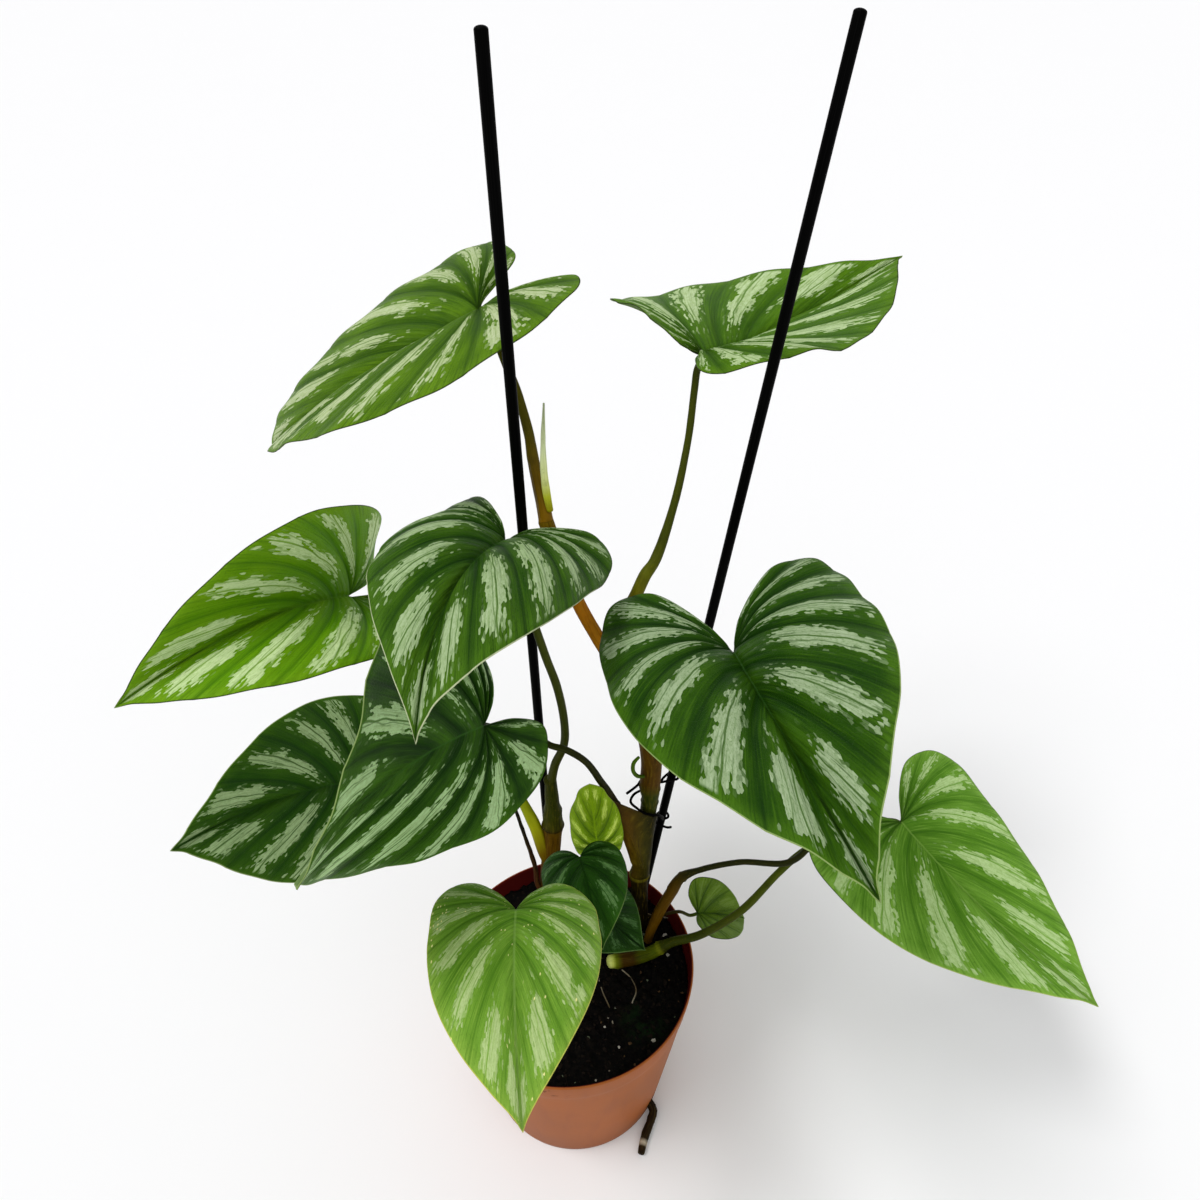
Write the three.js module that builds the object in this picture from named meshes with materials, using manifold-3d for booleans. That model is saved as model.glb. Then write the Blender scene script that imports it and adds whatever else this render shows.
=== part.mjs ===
// Potted philodendron: heart-shaped leaves on two climbing stems, tied to two thin stakes
// in a round terracotta-coloured nursery pot. Millimetres, +Z up, pot axis on the Z axis,
// the pot's flat base on Z = 0 and the viewer on the -Y side.
import * as THREE from 'three';
import { mergeVertices } from 'three/addons/utils/BufferGeometryUtils.js';
import Module from 'manifold-3d';

const wasm = await Module();
wasm.setup();

// Pot
const potRimRadius = 60;
const potBaseRadius = 45.5;
const potHeight = 98;
const potWall = 1.2;
const potFloor = 1.6;
const potSides = 48;
const drainHoleRadius = 4;
const drainHoleCircle = 28;
const drainHoleCount = 5;
const drainHoleTurn = 0.25;
const rootHoleRadius = 3.4;
const rootHoleLength = 14;
const rimRounding = 0.6;
const footRounding = 0.8;
const cornerFillet = 2;

// Soil
const soilTop = 88;
const soilBottom = 2;
const soilRoughness = 0.9;
const soilRings = [0.9, 0.68, 0.44, 0.2];
const soilChamfer = 2.4;
const fitGap = 0.3;

// Stakes
const stakeRadius = 2;
const stakeTop = 481;
const stakeFoot = 32;
const stakeSides = 12;

// Stems, petioles and roots as faceted tubes
const stemSides = 10;
const petioleSides = 7;
const rootSides = 6;
const tieSteps = 72;
const mainStemPitch = 13;
const leftStemPitch = 9;
const petiolePitch = 12;
const neckLength = 4;
const seatClearance = 0.1;
const neckLean = [0.8, 0.6];

// Leaves
const bladeThickness = 0.8;
const bluntFrom = 0.7;
const bluntFull = 0.945;
const bluntPower = 2.2;
const veinBend = 0.22;
const straightShare = 0.2;
const bentShare = 0.5;
const fanReach = 0.35;
const midribWidth = 1.6;
const sinusShare = 0.08;
const veinSweep = 0.5;
const tipPower = 12;
const lobeArcShare = 0.25;
const quiltRise = 0.3;
const quiltFade = 0.75;
const tipFade = 6;

const degree = Math.PI / 180;

// Half outline of a blade: x in half widths, y in blade lengths, from the sinus where the
// petiole joins, round the basal lobe and along the margin to the drip tip.
const halfOutline = [
  [0, 0], [0.13, -0.13], [0.36, -0.235], [0.68, -0.215], [0.92, -0.09], [1.0, 0.10],
  [0.96, 0.29], [0.81, 0.50], [0.565, 0.69], [0.29, 0.845], [0.085, 0.945], [0, 1.0],
];
const lobeReach = 0.235;

// One row a leaf. at: the petiole joint; size: blade length and width; lobe: how far each
// basal lobe reaches back, in lengths; spread: how far it leans out, in half widths;
// yaw, pitch, roll: the midrib's heading, rise and the turn about it; droop: how far the
// midrib arches down by its tip; fold and curl: the slope of each half at the midrib and
// its change out to the margin; twist: the turn at the tip; sway: the midrib's sideways
// bow; lobeDrop: how far each lobe bends down. Pairs are left, right. Angles in degrees.
const leaves = {
  top_left: {
    at: [-21.5, 84, 390], size: [124, 95.5], lobe: [0.29, 0.16], spread: [-0.15, 0.14],
    yaw: -171, pitch: -23, roll: 15, droop: 38, fold: [28, 10], curl: [-31, -31],
    twist: -4, sway: 0.66, lobeDrop: [12, 46], cells: [16, 5], quilt: 1.0, blunt: 2.2,
  },
  top_right: {
    at: [62, 83.5, 371], size: [116.5, 101.5], lobe: [0.16, 0.18], spread: [-0.15, -0.15],
    yaw: 52, pitch: -14, roll: 23, droop: -25, fold: [55, 1], curl: [-41, -25],
    twist: 5, sway: 0.7, lobeDrop: [-30, 60], cells: [16, 5], quilt: 1.0,
  },
  left: {
    at: [-80, 46, 289.5], size: [100, 72.5], lobe: [0.33, 0.34], spread: [0.11, 0.19],
    yaw: -110, pitch: 34, roll: 50, droop: 59, fold: [27, 41], curl: [4, 0],
    twist: 12, sway: -0.24, lobeDrop: [50, 52], cells: [16, 5], quilt: 1.0,
  },
  centre: {
    at: [-13, 26.5, 326.5], size: [96.5, 83], lobe: [0.27, 0.25], spread: [0.14, 0.29],
    yaw: -113, pitch: 23, roll: 18, droop: 36, fold: [43, 16], curl: [-81, -76],
    twist: -8, sway: -0.68, lobeDrop: [-11, -16], cells: [16, 5], quilt: 1.1,
  },
  big_right: {
    at: [67, 1, 293], size: [118.5, 99], lobe: [0.26, 0.30], spread: [0.25, 0.13],
    yaw: -82, pitch: 12, roll: -11, droop: 7, fold: [42, 40], curl: [-56, -58],
    twist: -10, sway: -0.02, lobeDrop: [-5, -7], cells: [16, 5], quilt: 1.2,
  },
  far_right: {
    at: [158, 27.5, 162], size: [106.5, 96], lobe: [0.18, 0.20], spread: [0.10, 0.18],
    yaw: -52, pitch: -24, roll: -10, droop: -7, fold: [8, 10], curl: [-29, -24],
    twist: 17, sway: -0.22, lobeDrop: [12, 12], cells: [16, 5], quilt: 1.0,
  },
  front: {
    at: [-14, -49.5, 216], size: [79.5, 63.5], lobe: [0.24, 0.23], spread: [0.12, 0.19],
    yaw: -88, pitch: 19, roll: -5, droop: 30, fold: [2, 11], curl: [-43, -24],
    twist: -15, sway: -0.06, lobeDrop: [11, 14], cells: [16, 5], quilt: 0.8,
  },
  low_left_front: {
    at: [-26.5, 7, 253.5], size: [116.5, 103.5], lobe: [0.29, 0.22], spread: [-0.17, 0.18],
    yaw: -129, pitch: 22, roll: 69, droop: -32, fold: [-4, -14], curl: [-19, -16],
    twist: 44, sway: -0.22, lobeDrop: [0, 28], cells: [16, 5], quilt: 1.0,
  },
  low_left_back: {
    at: [-97.5, 43, 184], size: [101, 81], lobe: [0.25, 0.25], spread: [0.11, 0.10],
    yaw: -130, pitch: 35, roll: 66, droop: -15, fold: [19, 16], curl: [-27, -24],
    twist: -10, sway: -0.27, lobeDrop: [12, 12], cells: [16, 5], quilt: 1.0,
  },
  small_dark: {
    at: [8, -1.5, 181.5], size: [45.5, 38], lobe: [0.25, 0.25], spread: [0.12, 0.09],
    yaw: -78, pitch: 15, roll: -4, droop: 29, fold: [-1, -2], curl: [-28, -32],
    twist: 0, sway: 0.05, lobeDrop: [17, 14], cells: [12, 4], quilt: 0.45,
  },
  small_bright: {
    at: [15.5, 13, 170.5], size: [34.5, 27.5], lobe: [0.25, 0.25], spread: [0.13, 0.13],
    yaw: 105, pitch: 72, roll: 16, droop: -14, fold: [-11, -12], curl: [-36, -36],
    twist: -1, sway: 0.03, lobeDrop: [11, 12], cells: [12, 4], quilt: 0.4, blunt: 2.4,
  },
  small_round: {
    at: [65, 26, 96], size: [42, 36], lobe: [0.23, 0.23], spread: [0.15, 0.16],
    yaw: 30, pitch: -39, roll: -27, droop: 2, fold: [36, 35], curl: [-10, -11],
    twist: -6, sway: 0.11, lobeDrop: [1, -3], cells: [12, 4], quilt: 0.35,
  },
  small_corner: {
    at: [15.5, 16, 114], size: [40, 34], lobe: [0.25, 0.25], spread: [0.12, 0.12],
    yaw: -63, pitch: 33, roll: -32, droop: 23, fold: [11, 11], curl: [-21, -21],
    twist: 1, sway: 0, lobeDrop: [12, 12], cells: [12, 4], quilt: 0.4,
  },
};

// Routes: each point is x, y, z and the radius there. Stems rise from the soil.
const mainStem = [
  [35.5, 25.5, 64, 3.9], [35.5, 25.5, 88, 4.1], [35.4, 27.9, 116, 4.1], [35.3, 28.8, 126, 4.7],
  [36.1, 29, 134, 4.0], [38.1, 29.9, 160, 3.8], [40.2, 30.8, 180, 3.9], [40.3, 31, 188, 4.9],
  [40.8, 32, 207, 4.9], [36, 33, 231, 4.2], [27.5, 34, 255, 3.0], [20.5, 35, 269, 2.8],
  [12, 37, 288, 2.7], [5.5, 39, 308, 2.8], [0.8, 41, 325, 2.9],
];
const leftStem = [
  [-12, 35, 64, 4.1], [-12, 35.5, 88, 4.2], [-11.2, 36, 105, 4.4], [-8.5, 36, 130, 4.5],
  [-6.3, 36, 150, 4.4], [-5.8, 36, 157, 5.0], [-5.6, 36, 163, 4.6], [-5.4, 35.5, 176, 3.6],
  [-5.3, 35, 190, 3.0],
];
const lowStem = [
  [19.5, 3, 92, 3.1], [24, 3.8, 91.4, 3.6], [32, 5, 91.4, 3.4], [40, 6.2, 93.8, 3.2], [46, 7.2, 97.4, 3.0],
];

// Petioles run from the stem to just under the blade that they carry.
const petioles = {
  top_left: {
    from: 'stem_main', route: [[0.8, 41, 325.4, 2.8], [-0.5, 43.5, 334, 2.6], [-2.4, 48, 343, 2.3],
      [-4.4, 58, 352.5, 1.9], [-8, 67, 364, 1.7], [-13.5, 77, 376, 1.6]],
  },
  top_right: {
    from: 'stem_main', route: [[22, 35, 264, 1.8], [28, 36.5, 280, 2.4], [33.7, 39, 290, 2.5],
      [38, 43, 297.5, 2.5], [42, 47, 301.5, 2.2], [50, 58, 320.5, 1.6], [56, 71, 342, 1.4],
      [58.5, 79, 358, 1.4]],
  },
  left: {
    from: 'stem_left', route: [[-8.4, 35.2, 124, 2.4], [-11.4, 34.4, 140, 3.0], [-14.6, 36, 157, 2.9],
      [-20.5, 40, 173, 2.3], [-29, 49, 190, 1.8], [-39, 55, 212, 1.6], [-46, 60, 238, 1.5],
      [-56, 63, 262, 1.5], [-68, 60, 277, 1.5]],
  },
  centre: {
    from: 'stem_left', route: [[-5.3, 35, 186, 2.2], [-2.4, 34, 200.7, 2.0], [2.4, 32.4, 215.4, 1.8],
      [3.2, 31, 231.6, 1.75], [1.3, 30, 251.6, 1.75], [-2.5, 29, 270, 1.7], [-6.5, 29, 290, 1.6],
      [-11, 30, 310, 1.5]],
  },
  big_right: {
    from: 'soil', route: [[38.6, 16, 74, 2.2], [39, 17, 88, 2.4], [44, 20.5, 104, 3.0], [51, 23.5, 119, 3.0],
      [55.5, 24, 129, 2.4], [64, 22, 137.4, 1.45], [82, 18, 148, 1.35], [104, 14, 152.4, 1.5],
      [114, 16, 166, 1.5], [119, 22, 195, 1.5], [112, 24, 235, 1.5], [94, 17, 265, 1.5], [76, 6, 282, 1.5]],
  },
  far_right: {
    from: 'stem_low', route: [[46.2, 7.3, 97.6, 2.7], [51, 7.6, 100.6, 2.3], [63, 7.4, 105.4, 2.1],
      [83, 11.4, 118, 1.9], [101, 18, 139, 1.7], [112, 23, 147, 1.7], [130, 30, 152, 1.6], [148, 33, 155, 1.6]],
  },
  front: {
    from: 'soil', route: [[-6, 14, 70, 1.6], [-6.5, 13, 88, 1.6], [-9, 2, 125, 1.5], [-12, -20, 170, 1.4],
      [-14, -42, 203, 1.3]],
  },
  low_left_front: {
    from: 'stem_main', route: [[36.2, 29.2, 130, 2.6], [34.7, 27.6, 141, 3.6], [32.4, 27.2, 155.5, 4.1],
      [29, 27, 167, 3.6], [25, 26, 179, 2.5], [21.8, 25, 190, 1.9], [17.6, 24, 201, 1.6],
      [11.6, 22.5, 215, 1.5], [3.6, 22, 223, 1.5], [-3, 23, 225, 1.4], [-9, 26, 227.5, 1.4],
      [-17, 25, 231.5, 1.4], [-24, 20, 239, 1.4]],
  },
  low_left_back: {
    from: 'petiole_left', route: [[-21, 40.6, 172, 1.5], [-30, 48, 174, 1.5], [-48, 57, 173, 1.5],
      [-72, 60, 170, 1.5], [-90, 54, 172, 1.5]],
  },
  small_dark: {
    from: 'soil', route: [[1, 10, 72, 1.2], [1, 9.5, 88, 1.2], [1.6, 6, 115, 1.1], [4.5, 2, 145, 1.0],
      [7, -1, 166, 1.0]],
  },
  small_bright: {
    from: 'soil', route: [[16, 36, 72, 1.2], [16, 36, 88, 1.2], [16, 34, 115, 1.1], [16, 22, 145, 1.0],
      [15.6, 17, 160, 1.0]],
  },
  small_round: {
    from: 'stem_main', route: [[37, 26, 93, 0.9], [46, 24.5, 97.4, 0.9], [55, 24, 100.8, 0.85]],
  },
  small_corner: {
    from: 'soil', route: [[14.5, 21, 74, 1.1], [14.5, 21, 88, 1.1], [15.2, 20, 102, 1.0]],
  },
};

const newLeaf = [
  [2.6, 40.4, 330, 1.5], [1.8, 40.2, 338, 1.9], [1.4, 40.6, 347, 1.7], [1.8, 41.8, 358, 1.1],
  [2.8, 43, 371, 0.4],
];
const drainRoot = [
  [35.5, -23, 6, 2.0], [38.2, -26, 5.2, 2.1], [39.8, -29.6, 4.2, 2.2], [38.2, -34, 3.2, 2.2],
  [36, -38.6, 2.8, 2.2], [34, -43.6, 2.6, 2.1], [32.4, -49, 2.4, 1.7],
];
const leftRoot = [
  [-10.5, 31.6, 104, 1.3], [-15.5, 33.5, 112, 1.3], [-16.5, 35.5, 126, 1.2], [-20.5, 37.5, 150, 0.9],
  [-23.5, 38, 169, 0.8], [-25.5, 38.5, 179, 0.6],
];
const rightTie = [
  [29.4, 25.2, 190.4, 0.6], [31.6, 27.4, 190, 0.6], [34.6, 31.3, 188.8, 0.6],
  [36.6, 35.2, 187.6, 0.6], [40.5, 36.6, 186.6, 0.6], [44.5, 35.6, 185.4, 0.6],
  [50.5, 37.9, 184, 0.6], [53.4, 39, 183.4, 0.6], [53.8, 42, 182.8, 0.6], [50.8, 44.1, 182.2, 0.6],
  [48, 42.5, 181.6, 0.6], [44.5, 38.5, 181, 0.6], [40.4, 36.2, 181, 0.6], [36.2, 34.4, 181.4, 0.6],
  [32.6, 31.2, 182.2, 0.6], [31.2, 27.2, 182, 0.6], [34, 25.9, 179.2, 0.6], [37, 25.2, 176.8, 0.6],
  [40.4, 25.4, 175, 0.6], [43.8, 26.9, 172.6, 0.6], [46.2, 31.2, 166, 0.6], [47, 36.6, 158, 0.6],
  [49.6, 38.2, 157.2, 0.6], [49.1, 41.7, 156.4, 0.6], [45.5, 42.6, 155.6, 0.6],
  [43.3, 39.6, 154.8, 0.6], [44.7, 36.9, 153.8, 0.6], [47, 36.5, 152.8, 0.6], [49.4, 36.2, 152, 0.6],
  [51, 37.2, 151, 0.6],
];
const curledBract = [
  [37.2, 27.8, 198.5, 0.8], [34.4, 27, 199.5, 0.9], [32.4, 26.8, 203, 0.9], [32.6, 27, 208, 0.9],
  [34.8, 27.6, 211, 0.7],
];

const stakes = {
  stake_left: [[-9.6, 43.9, 88], [-6.9, 38, 482]],
  stake_right: [[36, 36.5, 88], [97.5, 54.9, 480]],
};

// Colours as seen
const colours = {
  pot: '#a7674a', soil: '#17110d', stake: '#0b0b0c', tie: '#141414', root: '#33251a',
  bladeDeep: '#2f5a22', bladeMid: '#4a7a2a', bladeLight: '#6f9a42', bladeBright: '#86a83a',
  stem: '#7a6a2c', petiole: '#5f6b33', shoot: '#a9b870',
};

function material(colour, roughness) {
  return new THREE.MeshStandardMaterial({ color: colour, roughness, metalness: 0 });
}

// Booleans between closed meshes
function toSolid(geometry) {
  const bare = geometry.clone();
  bare.deleteAttribute('normal');
  bare.deleteAttribute('uv');
  const merged = mergeVertices(bare, 1e-4);
  return new wasm.Manifold(new wasm.Mesh({
    numProp: 3,
    vertProperties: new Float32Array(merged.attributes.position.array),
    triVerts: new Uint32Array(merged.index.array),
  }));
}

function fromSolid(solid) {
  const mesh = solid.getMesh();
  const geometry = new THREE.BufferGeometry();
  geometry.setAttribute('position', new THREE.BufferAttribute(new Float32Array(mesh.vertProperties), 3));
  geometry.setIndex(new THREE.BufferAttribute(new Uint32Array(mesh.triVerts), 1));
  geometry.computeVertexNormals();
  return geometry;
}

function cutAway(geometry, tools) {
  let solid = toSolid(geometry);
  for (const tool of tools) {
    solid = solid.subtract(toSolid(tool));
  }
  return fromSolid(solid);
}

// A closed geometry from a list of triangles of Vector3, with collapsed triangles left out
function closedMesh(triangles) {
  const points = [];
  for (const triangle of triangles) {
    for (const corner of triangle) {
      points.push(corner.x, corner.y, corner.z);
    }
  }
  const soup = new THREE.BufferGeometry();
  soup.setAttribute('position', new THREE.Float32BufferAttribute(points, 3));
  const merged = mergeVertices(soup, 1e-3);
  const kept = [];
  const index = merged.index.array;
  for (let i = 0; i < index.length; i += 3) {
    const [a, b, c] = [index[i], index[i + 1], index[i + 2]];
    if (a !== b && b !== c && c !== a) {
      kept.push(a, b, c);
    }
  }
  merged.setIndex(kept);
  merged.computeVertexNormals();
  return merged;
}

// A round tube of changing radius through the points of a route, with flat ends.
// grow adds a clearance all round and at both ends.
function tube(route, sides, steps, grow = 0) {
  const points = route.map(([x, y, z]) => new THREE.Vector3(x, y, z));
  const curve = new THREE.CatmullRomCurve3(points, false, 'centripetal');
  const frames = curve.computeFrenetFrames(steps, false);
  const lengths = curve.getLengths(400);
  const total = lengths[400];
  const knots = route.map((point, i) => lengths[Math.round(400 * i / (route.length - 1))] / total);
  const rings = [];
  for (let i = 0; i <= steps; i += 1) {
    const share = i / steps;
    let k = 0;
    while (k < knots.length - 2 && knots[k + 1] < share) {
      k += 1;
    }
    const mix = THREE.MathUtils.clamp((share - knots[k]) / (knots[k + 1] - knots[k]), 0, 1);
    const radius = THREE.MathUtils.lerp(route[k][3], route[k + 1][3], mix) + grow;
    const centre = curve.getPointAt(share);
    if (i === 0) {
      centre.addScaledVector(frames.tangents[i], -grow);
    }
    if (i === steps) {
      centre.addScaledVector(frames.tangents[i], grow);
    }
    const ring = [];
    for (let j = 0; j < sides; j += 1) {
      const angle = 2 * Math.PI * j / sides;
      ring.push(centre.clone()
        .addScaledVector(frames.normals[i], radius * Math.cos(angle))
        .addScaledVector(frames.binormals[i], radius * Math.sin(angle)));
    }
    rings.push(ring);
  }
  const triangles = [];
  for (let i = 0; i < steps; i += 1) {
    for (let j = 0; j < sides; j += 1) {
      const next = (j + 1) % sides;
      triangles.push([rings[i][j], rings[i][next], rings[i + 1][next]]);
      triangles.push([rings[i][j], rings[i + 1][next], rings[i + 1][j]]);
    }
  }
  for (let j = 1; j < sides - 1; j += 1) {
    triangles.push([rings[0][0], rings[0][j + 1], rings[0][j]]);
    triangles.push([rings[steps][0], rings[steps][j], rings[steps][j + 1]]);
  }
  return closedMesh(triangles);
}

// Point of the blade's middle surface for a flat place: x out from the midrib, y along it
function placeOnBlade(leaf, side, x, y) {
  const pick = side > 0 ? 1 : 0;
  const [length, width] = leaf.size;
  const halfWidth = width / 2;
  const fold = leaf.fold[pick] * degree;
  const curl = nonZero(leaf.curl[pick] * degree);
  const droop = nonZero(leaf.droop * degree);
  const lobeDrop = nonZero(leaf.lobeDrop[pick] * degree);
  const out = THREE.MathUtils.clamp(x / halfWidth, 0, 1.5);
  const flatX = halfWidth / curl * (Math.sin(fold + curl * out) - Math.sin(fold));
  const flatZ = -halfWidth / curl * (Math.cos(fold + curl * out) - Math.cos(fold));
  const twist = leaf.twist * degree * THREE.MathUtils.clamp(y / length, -0.3, 1);
  const across = side * (flatX * Math.cos(twist) - side * flatZ * Math.sin(twist));
  const lift = flatZ * Math.cos(twist) + side * flatX * Math.sin(twist);
  const ahead = Math.max(y, 0) / length;
  const lobeArc = lobeArcShare * length;
  const behind = Math.max(-y, 0) / lobeArc;
  const along = length / droop * Math.sin(droop * ahead)
    - lobeArc / lobeDrop * Math.sin(lobeDrop * behind);
  const drop = -length / droop * (1 - Math.cos(droop * ahead))
    - lobeArc / lobeDrop * (1 - Math.cos(lobeDrop * behind));
  const slope = y > 0 ? -droop * ahead : lobeDrop * behind;
  const sideways = across + leaf.sway * length * Math.min(ahead, 1) ** 2 / 2;
  const forward = along - Math.sin(slope) * lift;
  const upward = drop + Math.cos(slope) * lift;
  const axes = leafAxes(leaf);
  return new THREE.Vector3(...leaf.at)
    .addScaledVector(axes.across, sideways)
    .addScaledVector(axes.along, forward)
    .addScaledVector(axes.up, upward);
}

function nonZero(angle) {
  return Math.abs(angle) < 1e-4 ? 1e-4 : angle;
}

// The blade's own axes at its joint, before it arches
function leafAxes(leaf) {
  const yaw = leaf.yaw * degree;
  const pitch = leaf.pitch * degree;
  const roll = leaf.roll * degree;
  const ahead = Math.cos(pitch);
  const along = new THREE.Vector3(Math.cos(yaw) * ahead, Math.sin(yaw) * ahead, Math.sin(pitch));
  const level = new THREE.Vector3(Math.sin(yaw), -Math.cos(yaw), 0);
  const up = new THREE.Vector3().crossVectors(level, along);
  return {
    along,
    across: level.clone().multiplyScalar(Math.cos(roll)).addScaledVector(up, Math.sin(roll)),
    up: up.clone().multiplyScalar(Math.cos(roll)).addScaledVector(level, -Math.sin(roll)),
  };
}

function halfNormal(leaf, side, x, y) {
  const step = 0.5;
  const here = placeOnBlade(leaf, side, x, y);
  const outward = placeOnBlade(leaf, side, x + step, y).sub(here);
  const forward = placeOnBlade(leaf, side, x, y + step).sub(here);
  return new THREE.Vector3().crossVectors(outward, forward).multiplyScalar(side).normalize();
}

// The two halves share one normal at the midrib and part from it within its width
function bladeNormal(leaf, side, x, y) {
  const shared = halfNormal(leaf, 1, 0, y).add(halfNormal(leaf, -1, 0, y)).normalize();
  const own = halfNormal(leaf, side, x, y);
  return shared.lerp(own, THREE.MathUtils.clamp(x / midribWidth, 0, 1)).normalize();
}

// Margin of one flat half as a smooth curve through the outline's points
function marginCurve(leaf, side) {
  const pick = side > 0 ? 1 : 0;
  const [length, width] = leaf.size;
  const points = halfOutline.map(([x, y]) => {
    const behind = Math.max(-y, 0) / lobeReach;
    const tipShare = Math.min(Math.max((y - bluntFrom) / (bluntFull - bluntFrom), 0), 1);
    const widening = 1 + ((leaf.blunt ?? 1) - 1) * tipShare ** bluntPower;
    const outward = (x + leaf.spread[pick] * behind) * width / 2 * widening;
    const forward = (y < 0 ? -behind * leaf.lobe[pick] : y) * length;
    return new THREE.Vector2(Math.max(outward, 0), forward);
  });
  return (share) => {
    const last = points.length - 1;
    const place = Math.min(share * last, last - 1e-9);
    const i = Math.floor(place);
    const t = place - i;
    const before = i > 0 ? points[i - 1] : points[0].clone().multiplyScalar(2).sub(points[1]);
    const after = i < last - 1 ? points[i + 2] : points[last].clone().multiplyScalar(2).sub(points[last - 1]);
    const x = hermite(before.x, points[i].x, points[i + 1].x, after.x, t);
    const y = hermite(before.y, points[i].y, points[i + 1].y, after.y, t);
    return new THREE.Vector2(share <= 0 || share >= 1 ? 0 : Math.max(x, 0), y);
  };
}

function hermite(a, b, c, d, t) {
  return 0.5 * (2 * b + (c - a) * t + (2 * a - 5 * b + 4 * c - d) * t * t + (3 * b - a - 3 * c + d) * t ** 3);
}

// Where on the midrib the vein starts that ends at this height of the margin, in lengths.
// The veins of the lobes fan out from the petiole joint and the last one runs to the tip.
function veinStart(height) {
  const swept = veinSweep * Math.max(0, height - fanReach);
  const left = 1 - veinSweep * (1 - fanReach);
  return Math.min(1, swept + left * Math.max(0, height) ** tipPower);
}

// The blade's rows follow its lateral veins, which sweep towards the tip. Every second row is a
// sunken vein, and the tissue between two veins is quilted up. The first row is the edge of
// the sinus.
function bladeMesh(leaf) {
  const [rows, steps] = leaf.cells;
  const firstRow = Math.ceil(sinusShare * rows);
  const [length] = leaf.size;
  const triangles = [];
  for (const side of [1, -1]) {
    const margin = marginCurve(leaf, side);
    const top = [];
    const bottom = [];
    for (let j = firstRow; j <= rows; j += 1) {
      const u = j / rows;
      const edge = j === rows ? new THREE.Vector2(0, length) : margin(u);
      const start = new THREE.Vector2(0, length * veinStart(edge.y / length));
      const bending = THREE.MathUtils.clamp((u - straightShare) / (bentShare - straightShare), 0, 1);
      const bend = veinBend * bending * edge.distanceTo(start);
      const middle = start.clone().add(edge).multiplyScalar(0.5);
      middle.y -= bend;
      const topRow = [];
      const bottomRow = [];
      for (let i = 0; i <= steps; i += 1) {
        const v = i / steps;
        const x = 2 * v * (1 - v) * middle.x + v * v * edge.x;
        const y = (1 - v) ** 2 * start.y + 2 * v * (1 - v) * middle.y + v * v * edge.y;
        const fade = Math.min(1, v / quiltRise) * (1 - quiltFade * v ** 3) * Math.min(1, tipFade * (1 - u));
        const quilt = (j > firstRow && j % 2 === 1 ? 1 : 0) * leaf.quilt * fade;
        const point = placeOnBlade(leaf, side, x, y);
        const normal = bladeNormal(leaf, side, x, y);
        topRow.push(point.clone().addScaledVector(normal, quilt + bladeThickness / 2));
        bottomRow.push(point.clone().addScaledVector(normal, quilt - bladeThickness / 2));
      }
      top.push(topRow);
      bottom.push(bottomRow);
    }
    const face = (a, b, c) => triangles.push(side > 0 ? [a, b, c] : [a, c, b]);
    for (let i = 0; i < steps; i += 1) {
      face(top[0][i], bottom[0][i], bottom[0][i + 1]);
      face(top[0][i], bottom[0][i + 1], top[0][i + 1]);
    }
    for (let j = 0; j < rows - firstRow; j += 1) {
      for (let i = 0; i < steps; i += 1) {
        face(top[j][i], top[j][i + 1], top[j + 1][i + 1]);
        face(top[j][i], top[j + 1][i + 1], top[j + 1][i]);
        face(bottom[j][i], bottom[j + 1][i + 1], bottom[j][i + 1]);
        face(bottom[j][i], bottom[j + 1][i], bottom[j + 1][i + 1]);
      }
      face(top[j][steps], bottom[j][steps], bottom[j + 1][steps]);
      face(top[j][steps], bottom[j + 1][steps], top[j + 1][steps]);
    }
  }
  return closedMesh(triangles);
}

// A petiole's route with its last point just under the blade, at the sinus
function petioleRoute(name) {
  const leaf = leaves[name];
  const route = petioles[name].route;
  const last = route[route.length - 1];
  const radius = last[3];
  const axes = leafAxes(leaf);
  const joint = placeOnBlade(leaf, 1, 0, radius);
  const normal = bladeNormal(leaf, 1, 0, radius);
  const [upward, onward] = neckLean;
  const heading = normal.clone().multiplyScalar(upward).addScaledVector(axes.along, onward).normalize();
  const lean = Math.sqrt(Math.max(0, 1 - heading.dot(normal) ** 2));
  const end = joint.addScaledVector(normal, -(bladeThickness / 2 + fitGap + seatClearance + radius * lean));
  const neck = end.clone().addScaledVector(heading, -neckLength * radius);
  return [...route, [neck.x, neck.y, neck.z, radius], [end.x, end.y, end.z, radius]];
}

function routeSteps(route, pitch) {
  let total = 0;
  for (let i = 1; i < route.length; i += 1) {
    const [here, before] = [route[i], route[i - 1]];
    total += Math.hypot(here[0] - before[0], here[1] - before[1], here[2] - before[2]);
  }
  return Math.max(4, Math.round(total / pitch));
}

function stakeRoute([foot, head]) {
  const rise = head[2] - foot[2];
  const at = (z) => foot.map((value, i) => value + (head[i] - value) * (z - foot[2]) / rise);
  return [[...at(stakeFoot), stakeRadius], [...at(stakeTop), stakeRadius]];
}

function stakeMesh(ends, grow) {
  const [foot, head] = stakeRoute(ends);
  const start = new THREE.Vector3(foot[0], foot[1], foot[2]);
  const end = new THREE.Vector3(head[0], head[1], head[2]);
  const axis = end.clone().sub(start);
  const radius = stakeRadius + grow;
  const geometry = new THREE.CylinderGeometry(radius, radius, axis.length() + 2 * grow, stakeSides);
  const upright = new THREE.Vector3(0, 1, 0);
  const turn = new THREE.Quaternion().setFromUnitVectors(upright, axis.clone().normalize());
  geometry.applyQuaternion(turn);
  geometry.translate(...start.add(end).multiplyScalar(0.5).toArray());
  return geometry;
}

function lathe(profile) {
  const geometry = new THREE.LatheGeometry(profile.map(([r, z]) => new THREE.Vector2(r, z)), potSides);
  geometry.rotateX(Math.PI / 2);
  return geometry;
}

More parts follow.
